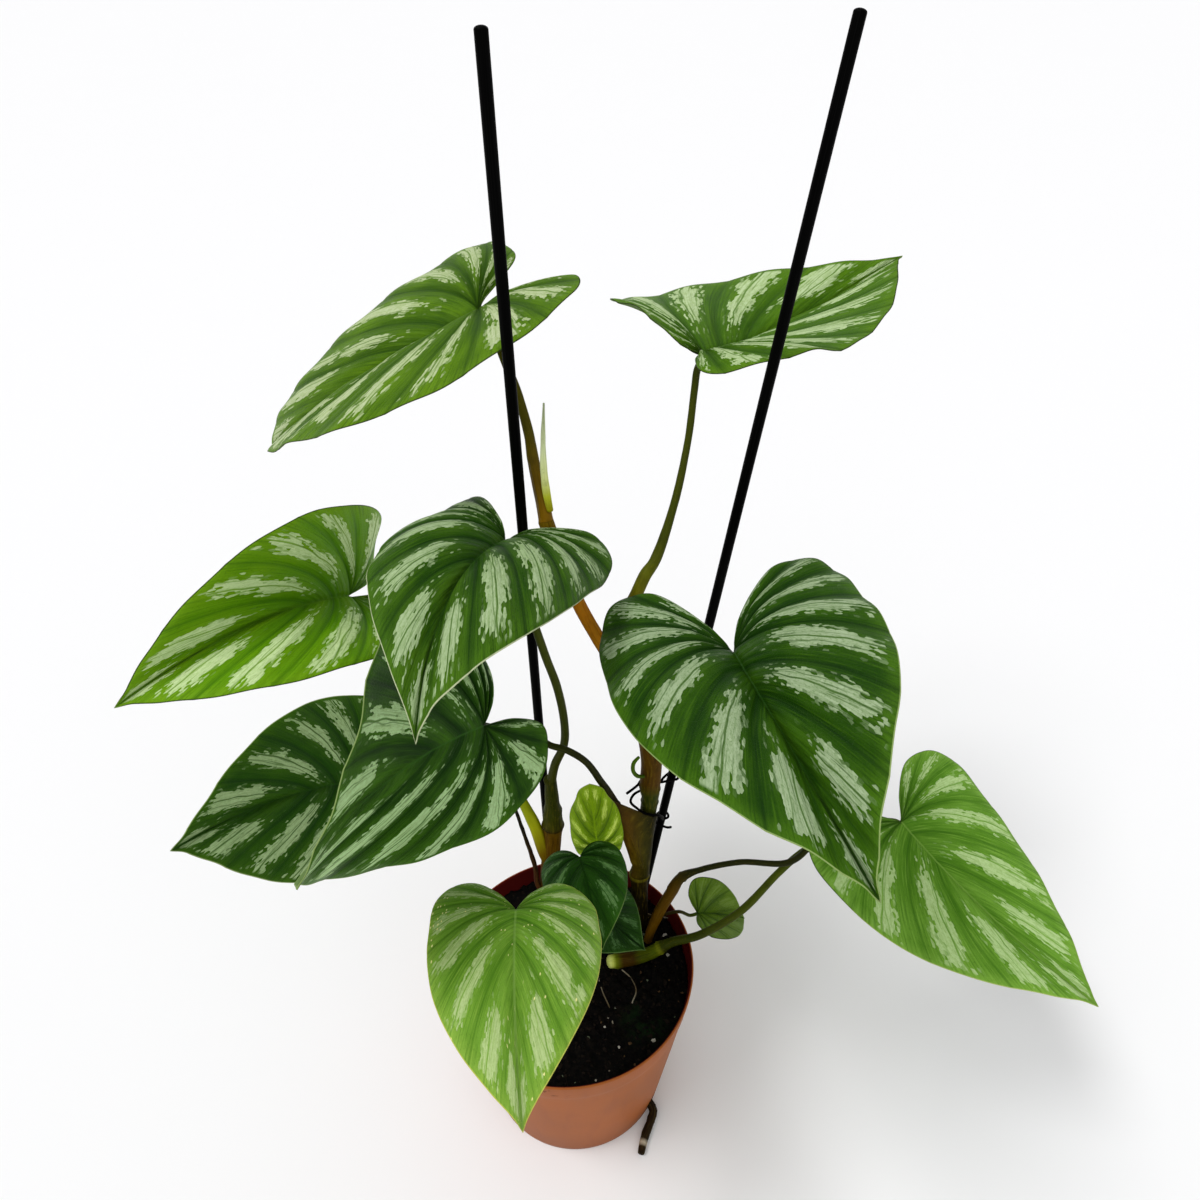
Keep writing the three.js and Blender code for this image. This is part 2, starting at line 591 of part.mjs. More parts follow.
function potMesh() {
  const slope = (potRimRadius - potBaseRadius) / potHeight;
  const inside = (z) => potBaseRadius + slope * z - potWall;
  const shell = lathe([
    [0, 0], [potBaseRadius - footRounding, 0], [potBaseRadius, footRounding],
    [potRimRadius, potHeight - rimRounding], [potRimRadius - rimRounding / 1.5, potHeight],
    [potRimRadius - potWall, potHeight], [inside(potFloor + cornerFillet), potFloor + cornerFillet],
    [inside(potFloor) - cornerFillet, potFloor], [0, potFloor],
  ]);
  const holes = [];
  for (let i = 0; i < drainHoleCount; i += 1) {
    const angle = 2 * Math.PI * (i + drainHoleTurn) / drainHoleCount;
    const hole = new THREE.CylinderGeometry(drainHoleRadius, drainHoleRadius, 3 * potFloor, 12);
    hole.rotateX(Math.PI / 2);
    hole.translate(drainHoleCircle * Math.cos(angle), drainHoleCircle * Math.sin(angle), potFloor / 2);
    holes.push(hole);
  }
  const [inner, through, outer] = drainRoot.map(([x, y, z]) => new THREE.Vector3(x, y, z));
  const outward = outer.sub(inner).normalize();
  const rootHole = new THREE.CylinderGeometry(rootHoleRadius, rootHoleRadius, rootHoleLength, 12);
  rootHole.applyQuaternion(new THREE.Quaternion().setFromUnitVectors(new THREE.Vector3(0, 1, 0), outward));
  rootHole.translate(...through.toArray());
  holes.push(rootHole);
  return cutAway(shell, holes);
}

function soilMesh(tools) {
  const slope = (potRimRadius - potBaseRadius) / potHeight;
  const reach = (z) => potBaseRadius + slope * z - potWall - fitGap;
  const geometry = lathe([
    [0, soilBottom], [reach(soilBottom) - soilChamfer, soilBottom],
    [reach(soilBottom + soilChamfer), soilBottom + soilChamfer], [reach(soilTop - 1), soilTop - 1],
    ...soilRings.map((share) => [reach(soilTop) * share, soilTop]), [0, soilTop],
  ]);
  const position = geometry.attributes.position;
  for (let i = 0; i < position.count; i += 1) {
    const [x, y, z] = [position.getX(i), position.getY(i), position.getZ(i)];
    if (z > soilTop - 0.1) {
      const wave = Math.sin(x * 0.31 + 1.3) * Math.cos(y * 0.27 - 0.4) + Math.sin(x * 0.83 + y * 0.71);
      position.setZ(i, z + soilRoughness * wave / 2);
    }
  }
  return cutAway(geometry, tools);
}

const stemMesh = (grow) => ({
  stem_main: tube(mainStem, stemSides, routeSteps(mainStem, mainStemPitch), grow),
  stem_left: tube(leftStem, stemSides, routeSteps(leftStem, leftStemPitch), grow),
  stem_low: tube(lowStem, stemSides, 6, grow),
});
const stemShape = stemMesh(0);
const stemSeat = stemMesh(fitGap);

const plant = new THREE.Group();

function addNode(name, geometry, look) {
  const mesh = new THREE.Mesh(geometry, look);
  mesh.name = name;
  plant.add(mesh);
}

// Everything that stands in the soil leaves a plain hole there
const planted = [stemSeat.stem_main, stemSeat.stem_left, stemSeat.stem_low];
for (const ends of Object.values(stakes)) {
  planted.push(stakeMesh(ends, fitGap));
}
planted.push(tube(drainRoot, rootSides, 8, fitGap));

const bladeColour = {
  top_left: colours.bladeMid, top_right: colours.bladeMid, left: colours.bladeMid, centre: colours.bladeDeep,
  big_right: colours.bladeDeep, far_right: colours.bladeLight, front: colours.bladeLight,
  low_left_front: colours.bladeDeep, low_left_back: colours.bladeDeep, small_dark: colours.bladeDeep,
  small_bright: colours.bladeBright, small_round: colours.bladeMid, small_corner: colours.bladeDeep,
};

for (const [name, petiole] of Object.entries(petioles)) {
  const route = petioleRoute(name);
  const steps = routeSteps(route, petiolePitch);
  let geometry = tube(route, petioleSides, steps);
  stemSeat[`petiole_${name}`] = tube(route, petioleSides, steps, fitGap);
  if (petiole.from === 'soil') {
    planted.push(stemSeat[`petiole_${name}`]);
  } else {
    geometry = cutAway(geometry, [stemSeat[petiole.from]]);
  }
  addNode(`petiole_${name}`, geometry, material(colours.petiole, 0.5));
  addNode(`blade_${name}`, bladeMesh(leaves[name]), material(bladeColour[name], 0.45));
}

addNode('pot', potMesh(), material(colours.pot, 0.55));
addNode('soil', soilMesh(planted), material(colours.soil, 0.95));
for (const [name, ends] of Object.entries(stakes)) {
  addNode(name, stakeMesh(ends, 0), material(colours.stake, 0.45));
}
addNode('stem_main', stemShape.stem_main, material(colours.stem, 0.55));
addNode('stem_left', stemShape.stem_left, material(colours.stem, 0.55));
addNode('stem_low', stemShape.stem_low, material(colours.stem, 0.55));
const rolledLeaf = cutAway(tube(newLeaf, rootSides, 6), [stemSeat.petiole_top_left]);
addNode('new_leaf', rolledLeaf, material(colours.shoot, 0.5));
addNode('bract', tube(curledBract, rootSides, 8), material(colours.petiole, 0.5));
addNode('tie_right', tube(rightTie, rootSides, tieSteps), material(colours.tie, 0.5));
const airRoot = cutAway(tube(leftRoot, rootSides, 9), [stemSeat.stem_left]);
addNode('root_left', airRoot, material(colours.root, 0.7));
addNode('root_drain', tube(drainRoot, rootSides, 8), material(colours.root, 0.7));

export default plant;
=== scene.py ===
# Potted philodendron with silver-marked leaves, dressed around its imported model.
# Sizes are millimetres and degrees; meshes are written in metres.
import math

import bpy
import numpy as np
from mathutils import Matrix, Vector, noise


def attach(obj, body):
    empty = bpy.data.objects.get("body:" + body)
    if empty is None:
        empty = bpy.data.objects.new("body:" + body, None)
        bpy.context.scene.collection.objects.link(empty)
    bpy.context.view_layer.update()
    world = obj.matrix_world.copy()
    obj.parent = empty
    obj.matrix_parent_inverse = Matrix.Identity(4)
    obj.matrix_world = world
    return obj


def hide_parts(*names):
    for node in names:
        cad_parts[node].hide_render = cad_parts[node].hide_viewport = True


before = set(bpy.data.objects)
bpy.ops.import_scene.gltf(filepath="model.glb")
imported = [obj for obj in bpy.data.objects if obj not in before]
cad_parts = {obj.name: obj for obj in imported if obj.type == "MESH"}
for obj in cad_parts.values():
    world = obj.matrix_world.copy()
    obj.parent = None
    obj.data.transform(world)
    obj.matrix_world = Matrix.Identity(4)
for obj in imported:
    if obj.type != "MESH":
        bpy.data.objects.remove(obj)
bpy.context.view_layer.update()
mm = 0.001
print("frame loaded:", len(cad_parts), "nodes")


# One socket of a node tree that can stand in arithmetic
class Wire:
    def __init__(self, graph, socket):
        self.graph = graph
        self.socket = socket

    def __add__(self, other):
        return self.graph.math("ADD", self, other)

    def __radd__(self, other):
        return self.graph.math("ADD", other, self)

    def __sub__(self, other):
        return self.graph.math("SUBTRACT", self, other)

    def __rsub__(self, other):
        return self.graph.math("SUBTRACT", other, self)

    def __mul__(self, other):
        return self.graph.math("MULTIPLY", self, other)

    def __rmul__(self, other):
        return self.graph.math("MULTIPLY", other, self)

    def __truediv__(self, other):
        return self.graph.math("DIVIDE", self, other)

    def __abs__(self):
        return self.graph.math("ABSOLUTE", self)

    def __pow__(self, other):
        return self.graph.math("POWER", self, other)


# Adds nodes to one tree, of a material or of Geometry Nodes
class Graph:
    def __init__(self, tree):
        self.tree = tree

    def node(self, kind, settings=None, inputs=None):
        made = self.tree.nodes.new(kind)
        for key, value in (settings or {}).items():
            setattr(made, key, value)
        for key, value in (inputs or {}).items():
            self.feed(made.inputs[key], value)
        return made

    def feed(self, socket, value):
        if isinstance(value, Wire):
            self.tree.links.new(value.socket, socket)
        else:
            socket.default_value = value

    def wire(self, kind, settings=None, inputs=None, output=0):
        return Wire(self, self.node(kind, settings, inputs).outputs[output])

    def math(self, operation, *values):
        return self.wire("ShaderNodeMath", {"operation": operation}, dict(enumerate(values)))

    def vectorMath(self, operation, first, second):
        return self.wire("ShaderNodeVectorMath", {"operation": operation}, {0: first, 1: second})

    def scaled(self, vector, factor):
        return self.wire("ShaderNodeVectorMath", {"operation": "SCALE"}, {0: vector, "Scale": factor})

    def combine(self, x, y, z):
        return self.wire("ShaderNodeCombineXYZ", None, {0: x, 1: y, 2: z})

    def split(self, vector):
        made = self.node("ShaderNodeSeparateXYZ", None, {0: vector})
        return [Wire(self, output) for output in made.outputs]

    # 0 at low and 1 at high, smooth between; low may be the larger one
    def step(self, value, low, high):
        return self.wire("ShaderNodeMapRange", {"interpolation_type": "SMOOTHSTEP"},
                         {"Value": value, "From Min": low, "From Max": high})

    # Each layer is a mask and the colour that it lays over what is there
    def layers(self, colour, *layers):
        for mask, over in layers:
            made = self.node("ShaderNodeMix", {"data_type": "RGBA"}, {0: mask, 6: colour, 7: over})
            colour = Wire(self, made.outputs[2])
        return colour

    def noise(self, vector, scale=1.0, detail=2.0, rough=0.5):
        return self.wire("ShaderNodeTexNoise", None,
                         {"Vector": vector, "Scale": scale, "Detail": detail, "Roughness": rough})

    def cells(self, vector, scale=1.0, randomness=1.0, **settings):
        made = self.node("ShaderNodeTexVoronoi", settings,
                         {"Vector": vector, "Scale": scale, "Randomness": randomness})
        return {output.name: Wire(self, output) for output in made.outputs}

    # Three even random numbers for each whole place
    def draw(self, x, y, z):
        made = self.node("ShaderNodeTexWhiteNoise", {"noise_dimensions": "3D"},
                         {"Vector": self.combine(x, y, z)})
        return self.split(Wire(self, made.outputs["Color"]))

    # A point on a circle and a place along it, so that noise closes round a stalk
    def roundAbout(self, turn, radius, along):
        angle = turn * math.tau
        return self.combine(self.math("SINE", angle) * radius, self.math("COSINE", angle) * radius, along)


# A material's graph with its own surface shader
class Look(Graph):
    sockets = {"colour": "Base Color", "rough": "Roughness", "specular": "Specular IOR Level"}

    def __init__(self, name):
        self.material = bpy.data.materials.new(name)
        self.material.use_nodes = True
        super().__init__(self.material.node_tree)
        self.shader = next(node for node in self.tree.nodes if node.type == "BSDF_PRINCIPLED")

    def attribute(self, name, output="Fac"):
        return self.wire("ShaderNodeAttribute", {"attribute_name": name}, None, output)

    def place(self):
        return self.wire("ShaderNodeTexCoord", None, None, "Object")

    # bump: a height, the distance that it stands for in metres, and a strength
    def surface(self, bump=None, **inputs):
        for key, value in inputs.items():
            self.feed(self.shader.inputs[self.sockets[key]], value)
        if bump:
            height, distance, strength = bump
            normal = self.wire("ShaderNodeBump", None,
                               {"Strength": strength, "Distance": distance, "Height": height})
            self.feed(self.shader.inputs["Normal"], normal)
        return self.material


# Linear colour from the 0 to 255 values that a picture shows
def paint(red, green, blue):
    def linear(value):
        share = value / 255
        return share / 12.92 if share <= 0.04045 else ((share + 0.055) / 1.055) ** 2.4
    return (linear(red), linear(green), linear(blue), 1.0)


# A piece's table of tones with its colours made linear; its plain numbers stay
def painted(tones):
    return {key: paint(*tone) if isinstance(tone, tuple) else tone for key, tone in tones.items()}


def addObject(name, data):
    made = bpy.data.objects.new(name, data)
    bpy.context.collection.objects.link(made)
    return made


def meshObject(name, points, faces, material):
    mesh = bpy.data.meshes.new(name)
    mesh.from_pydata((np.asarray(points) * mm).tolist(), [], [list(face) for face in faces])
    mesh.materials.append(material)
    mesh.polygons.foreach_set("use_smooth", [True] * len(mesh.polygons))
    mesh.update()
    return addObject(name, mesh)


# Keeps values on a mesh, for its material or its Geometry Nodes to read
def mark(mesh, name, values, domain="POINT"):
    data = mesh.attributes.new(name, "FLOAT", domain).data
    data.foreach_set("value", np.asarray(values, dtype=np.float32).ravel())


def markTint(mesh, tints):
    data = mesh.attributes.new("tint", "FLOAT_COLOR", "POINT").data
    data.foreach_set("color", tints.astype(np.float32).ravel())


# The number of each place in a grid, and the four corners of its faces
def gridCorners(rows, columns):
    ids = np.arange(rows * columns).reshape(rows, columns)
    corners = (ids[:-1, :-1], ids[:-1, 1:], ids[1:, 1:], ids[1:, :-1])
    return ids, [corner.ravel() for corner in corners]


def facesOf(*groups):
    return np.concatenate([np.stack(corners, axis=1) for corners in groups])


# A closed body of rings from one end to the other; an end is a ring of one point
def ringBody(name, rings, sides, material, turned=False):
    points, rows, faces = [], [], []
    for ring in rings:
        first = len(points)
        rows.append(range(first, first + sides) if len(ring) > 1 else [first] * sides)
        points += ring
    for lower, upper in zip(rows[:-1], rows[1:]):
        for k in range(sides):
            after = (k + 1) % sides
            corners = (lower[k], lower[after], upper[after], upper[k])
            if turned:
                corners = (corners[0], corners[3], corners[2], corners[1])
            faces.append(list(dict.fromkeys(corners)))
    return meshObject(name, points, faces, material)


# Evaluates a piece's modifiers once and leaves a plain mesh
def settle(piece):
    graph = bpy.context.evaluated_depsgraph_get()
    mesh = bpy.data.meshes.new_from_object(piece.evaluated_get(graph))
    mesh.name = piece.name
    piece.modifiers.clear()
    piece.data = mesh
    return piece


def finishPiece(piece, node):
    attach(piece, "root")
    if node:
        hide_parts(node)


# Leaves: the same forms as the solids. Pairs are left, right; see the pot's frame for the axes.
leaves = {
    "top_left": {
        "at": (-21.5, 84, 390), "size": (124, 95.5), "lobe": (0.29, 0.16), "spread": (-0.15, 0.14),
        "yaw": -171, "pitch": -23, "roll": 15, "droop": 38, "fold": (28, 10), "curl": (-31, -31),
        "twist": -4, "sway": 0.66, "lobeDrop": (12, 46), "veins": 9, "quilt": 1.0, "blunt": 2.2,
    },
    "top_right": {
        "at": (62, 83.5, 371), "size": (116.5, 101.5), "lobe": (0.16, 0.18), "spread": (-0.15, -0.15),
        "yaw": 52, "pitch": -14, "roll": 23, "droop": -25, "fold": (55, 1), "curl": (-41, -25),
        "twist": 5, "sway": 0.7, "lobeDrop": (-30, 60), "veins": 9, "quilt": 1.0,
    },
    "left": {
        "at": (-80, 46, 289.5), "size": (100, 72.5), "lobe": (0.33, 0.34), "spread": (0.11, 0.19),
        "yaw": -110, "pitch": 34, "roll": 50, "droop": 59, "fold": (27, 41), "curl": (4, 0),
        "twist": 12, "sway": -0.24, "lobeDrop": (50, 52), "veins": 9, "quilt": 1.0,
    },
    "centre": {
        "at": (-13, 26.5, 326.5), "size": (96.5, 83), "lobe": (0.27, 0.25), "spread": (0.14, 0.29),
        "yaw": -113, "pitch": 23, "roll": 18, "droop": 36, "fold": (43, 16), "curl": (-81, -76),
        "twist": -8, "sway": -0.68, "lobeDrop": (-11, -16), "veins": 9, "quilt": 1.1,
    },
    "big_right": {
        "at": (67, 1, 293), "size": (118.5, 99), "lobe": (0.26, 0.30), "spread": (0.25, 0.13),
        "yaw": -82, "pitch": 12, "roll": -11, "droop": 7, "fold": (42, 40), "curl": (-56, -58),
        "twist": -10, "sway": -0.02, "lobeDrop": (-5, -7), "veins": 9, "quilt": 1.2,
    },
    "far_right": {
        "at": (158, 27.5, 162), "size": (106.5, 96), "lobe": (0.18, 0.20), "spread": (0.10, 0.18),
        "yaw": -52, "pitch": -24, "roll": -10, "droop": -7, "fold": (8, 10), "curl": (-29, -24),
        "twist": 17, "sway": -0.22, "lobeDrop": (12, 12), "veins": 8, "quilt": 1.0,
    },
    "front": {
        "at": (-14, -49.5, 216), "size": (79.5, 63.5), "lobe": (0.24, 0.23), "spread": (0.12, 0.19),
        "yaw": -88, "pitch": 19, "roll": -5, "droop": 30, "fold": (2, 11), "curl": (-43, -24),
        "twist": -15, "sway": -0.06, "lobeDrop": (11, 14), "veins": 8, "quilt": 0.55,
    },
    "low_left_front": {
        "at": (-26.5, 7, 253.5), "size": (116.5, 103.5), "lobe": (0.29, 0.22), "spread": (-0.17, 0.18),
        "yaw": -129, "pitch": 22, "roll": 69, "droop": -32, "fold": (-4, -14), "curl": (-19, -16),
        "twist": 44, "sway": -0.22, "lobeDrop": (0, 28), "veins": 9, "quilt": 1.0,
    },
    "low_left_back": {
        "at": (-97.5, 43, 184), "size": (101, 81), "lobe": (0.25, 0.25), "spread": (0.11, 0.10),
        "yaw": -130, "pitch": 35, "roll": 66, "droop": -15, "fold": (19, 16), "curl": (-27, -24),
        "twist": -10, "sway": -0.27, "lobeDrop": (12, 12), "veins": 9, "quilt": 1.0,
    },
    "small_dark": {
        "at": (8, -1.5, 181.5), "size": (45.5, 38), "lobe": (0.25, 0.25), "spread": (0.12, 0.09),
        "yaw": -78, "pitch": 15, "roll": -4, "droop": 29, "fold": (-1, -2), "curl": (-28, -32),
        "twist": 0, "sway": 0.05, "lobeDrop": (17, 14), "veins": 6, "quilt": 0.45,
    },
    "small_bright": {
        "at": (15.5, 13, 170.5), "size": (34.5, 27.5), "lobe": (0.25, 0.25), "spread": (0.13, 0.13),
        "yaw": 105, "pitch": 72, "roll": 16, "droop": -14, "fold": (-11, -12), "curl": (-36, -36),
        "twist": -1, "sway": 0.03, "lobeDrop": (11, 12), "veins": 6, "quilt": 0.4, "blunt": 2.4,
    },
    "small_round": {
        "at": (65, 26, 96), "size": (42, 36), "lobe": (0.23, 0.23), "spread": (0.15, 0.16),
        "yaw": 30, "pitch": -39, "roll": -27, "droop": 2, "fold": (36, 35), "curl": (-10, -11),
        "twist": -6, "sway": 0.11, "lobeDrop": (1, -3), "veins": 6, "quilt": 0.35,
    },
    "small_corner": {
        "at": (15.5, 16, 114), "size": (40, 34), "lobe": (0.25, 0.25), "spread": (0.12, 0.12),
        "yaw": -63, "pitch": 33, "roll": -32, "droop": 23, "fold": (11, 11), "curl": (-21, -21),
        "twist": 1, "sway": 0, "lobeDrop": (12, 12), "veins": 6, "quilt": 0.4,
    },
}

# Half outline: half widths across, blade lengths along, from the joint round the lobe to the tip
halfOutline = [
    (0, 0), (0.13, -0.13), (0.36, -0.235), (0.68, -0.215), (0.92, -0.09), (1.0, 0.10),
    (0.96, 0.29), (0.81, 0.50), (0.565, 0.69), (0.29, 0.845), (0.085, 0.945), (0, 1.0),
]
lobeReach = 0.235
lobeSpan = 0.25  # part of the blade's length over which a lobe takes its droop
bluntFrom, bluntFull, bluntPower = 0.7, 0.945, 2.2
usualLength = 110  # reliefs below are for a blade of this length and follow the real one

# How every blade is built: its grid, its thickness, the veins' course, and its relief.
# weld: points count as one where they round to the same place, with this many places a mm.
bladeSheet = {
    "rowsPerVein": 14, "steps": 28, "firstVein": 0.5, "crowd": 1.25,
    "thick": 0.55, "edgeThick": 0.32, "edgeBand": 2, "leastThick": 0.2, "rim": 0.14, "seatThick": 0.8,
    "veinBend": 0.22, "straightShare": 0.2, "bentShare": 0.5, "fanReach": 0.35, "sweep": 0.5,
    "tipPower": 12, "midribWidth": 1.6,
    "groove": 0.28, "grooveWidth": 0.9, "grooveFade": 0.6, "ridge": 0.35, "midribGroove": 0.45,
    "midribRidge": 1.1, "midribHalf": 1.1, "midribFade": 0.7,
    "furrow": 1.2, "quiltLift": 1.45, "quiltFrom": 0.3, "quiltFade": 0.75, "tipFade": 6,
    "wave": 0.4, "waveFrom": 12, "marginWave": 0.4, "farVein": 9, "weld": 500,
}


def leafAxes(leaf):
    yaw, pitch, roll = (math.radians(leaf[key]) for key in ("yaw", "pitch", "roll"))
    along = np.array([math.cos(yaw) * math.cos(pitch), math.sin(yaw) * math.cos(pitch), math.sin(pitch)])
    level = np.array([math.sin(yaw), -math.cos(yaw), 0.0])
    up = np.cross(level, along)
    across = level * math.cos(roll) + up * math.sin(roll)
    return across, along, up * math.cos(roll) - level * math.sin(roll)


# An angle in radians that can be divided by
def bend(degrees):
    angle = math.radians(degrees)
    return 1e-4 if abs(angle) < 1e-4 else angle


# Points of the blade's middle surface for flat places: x out from the midrib, y along it
def placeOnBlade(leaf, side, x, y):
    pick = 1 if side > 0 else 0
    length, width = leaf["size"]
    half = width / 2
    fold = math.radians(leaf["fold"][pick])
    curl, droop, lobeDrop = bend(leaf["curl"][pick]), bend(leaf["droop"]), bend(leaf["lobeDrop"][pick])
    out = np.clip(x / half, 0, 1.5)
    flatX = half / curl * (np.sin(fold + curl * out) - math.sin(fold))
    flatZ = -half / curl * (np.cos(fold + curl * out) - math.cos(fold))
    twist = math.radians(leaf["twist"]) * np.clip(y / length, -0.3, 1)
    across = side * (flatX * np.cos(twist) - side * flatZ * np.sin(twist))
    lift = flatZ * np.cos(twist) + side * flatX * np.sin(twist)
    ahead = np.maximum(y, 0) / length
    behind = np.maximum(-y, 0) / (lobeSpan * length)
    lobeArc = lobeSpan * length / lobeDrop
    alongArc = length / droop * np.sin(droop * ahead) - lobeArc * np.sin(lobeDrop * behind)
    drop = -length / droop * (1 - np.cos(droop * ahead)) - lobeArc * (1 - np.cos(lobeDrop * behind))
    slope = np.where(y > 0, -droop * ahead, lobeDrop * behind)
    sideways = across + leaf["sway"] * length * np.minimum(ahead, 1) ** 2 / 2
    forward = alongArc - np.sin(slope) * lift
    upward = drop + np.cos(slope) * lift
    parts = zip((sideways, forward, upward), leafAxes(leaf))
    return np.array(leaf["at"]) + sum(share[..., None] * axis for share, axis in parts)


def unit(vectors):
    return vectors / np.maximum(np.linalg.norm(vectors, axis=-1, keepdims=True), 1e-9)


def halfNormal(leaf, side, x, y):
    here = placeOnBlade(leaf, side, x, y)
    outward = placeOnBlade(leaf, side, x + 0.5, y) - here
    forward = placeOnBlade(leaf, side, x, y + 0.5) - here
    return unit(np.cross(outward, forward) * side)


# Both halves share one normal at the midrib and part from it within its width
def bladeNormal(leaf, side, x, y):
    zero = np.zeros_like(x)
    shared = unit(halfNormal(leaf, 1, zero, y) + halfNormal(leaf, -1, zero, y))
    blend = np.clip(x / bladeSheet["midribWidth"], 0, 1)[..., None]
    return unit(shared * (1 - blend) + halfNormal(leaf, side, x, y) * blend)


# Flat places of the margin, on a smooth curve through the half outline's knots
def marginCurve(leaf, side, share):
    pick = 1 if side > 0 else 0
    length, width = leaf["size"]
    knots = []
    for x, y in halfOutline:
        behind = max(-y, 0) / lobeReach
        outward = (x + leaf["spread"][pick] * behind) * width / 2
        tipShare = float(np.clip((y - bluntFrom) / (bluntFull - bluntFrom), 0, 1))
        outward *= 1 + (leaf.get("blunt", 1) - 1) * tipShare ** bluntPower
        knots.append((max(outward, 0), (-behind * leaf["lobe"][pick] if y < 0 else y) * length))
    knots = np.array(knots)
    knots = np.vstack([2 * knots[0] - knots[1], knots, 2 * knots[-1] - knots[-2]])
    last = len(halfOutline) - 1
    place = np.minimum(share * last, last - 1e-9)
    i = np.floor(place).astype(int)
    t = (place - i)[:, None]
    a, b, c, d = (knots[i + k] for k in range(4))
    cubic = (3 * b - a - 3 * c + d) * t ** 3
    curve = 0.5 * (2 * b + (c - a) * t + (2 * a - 5 * b + 4 * c - d) * t ** 2 + cubic)
    curve[:, 0] = np.maximum(curve[:, 0], 0)
    curve[share >= 1] = (0, length)
    return curve


# Flat places of a half's grid: each row follows a lateral vein from the midrib to the margin
def veinGrid(leaf, side, rows, steps):
    sheet, length = bladeSheet, leaf["size"][0]
    edge = marginCurve(leaf, side, rows)
    height = edge[:, 1] / length
    swept = sheet["sweep"] * np.maximum(0, height - sheet["fanReach"])
    left = 1 - sheet["sweep"] * (1 - sheet["fanReach"])
    start = np.zeros_like(edge)
    start[:, 1] = length * np.minimum(1, swept + left * np.maximum(0, height) ** sheet["tipPower"])
    span = np.linalg.norm(edge - start, axis=1)
    bending = np.clip((rows - sheet["straightShare"]) / (sheet["bentShare"] - sheet["straightShare"]), 0, 1)
    middle = (start + edge) / 2
    middle[:, 1] -= sheet["veinBend"] * bending * span
    v = steps[None, :, None]
    flat = (1 - v) ** 2 * start[:, None] + 2 * v * (1 - v) * middle[:, None] + v ** 2 * edge[:, None]
    return flat[..., 0], flat[..., 1], span


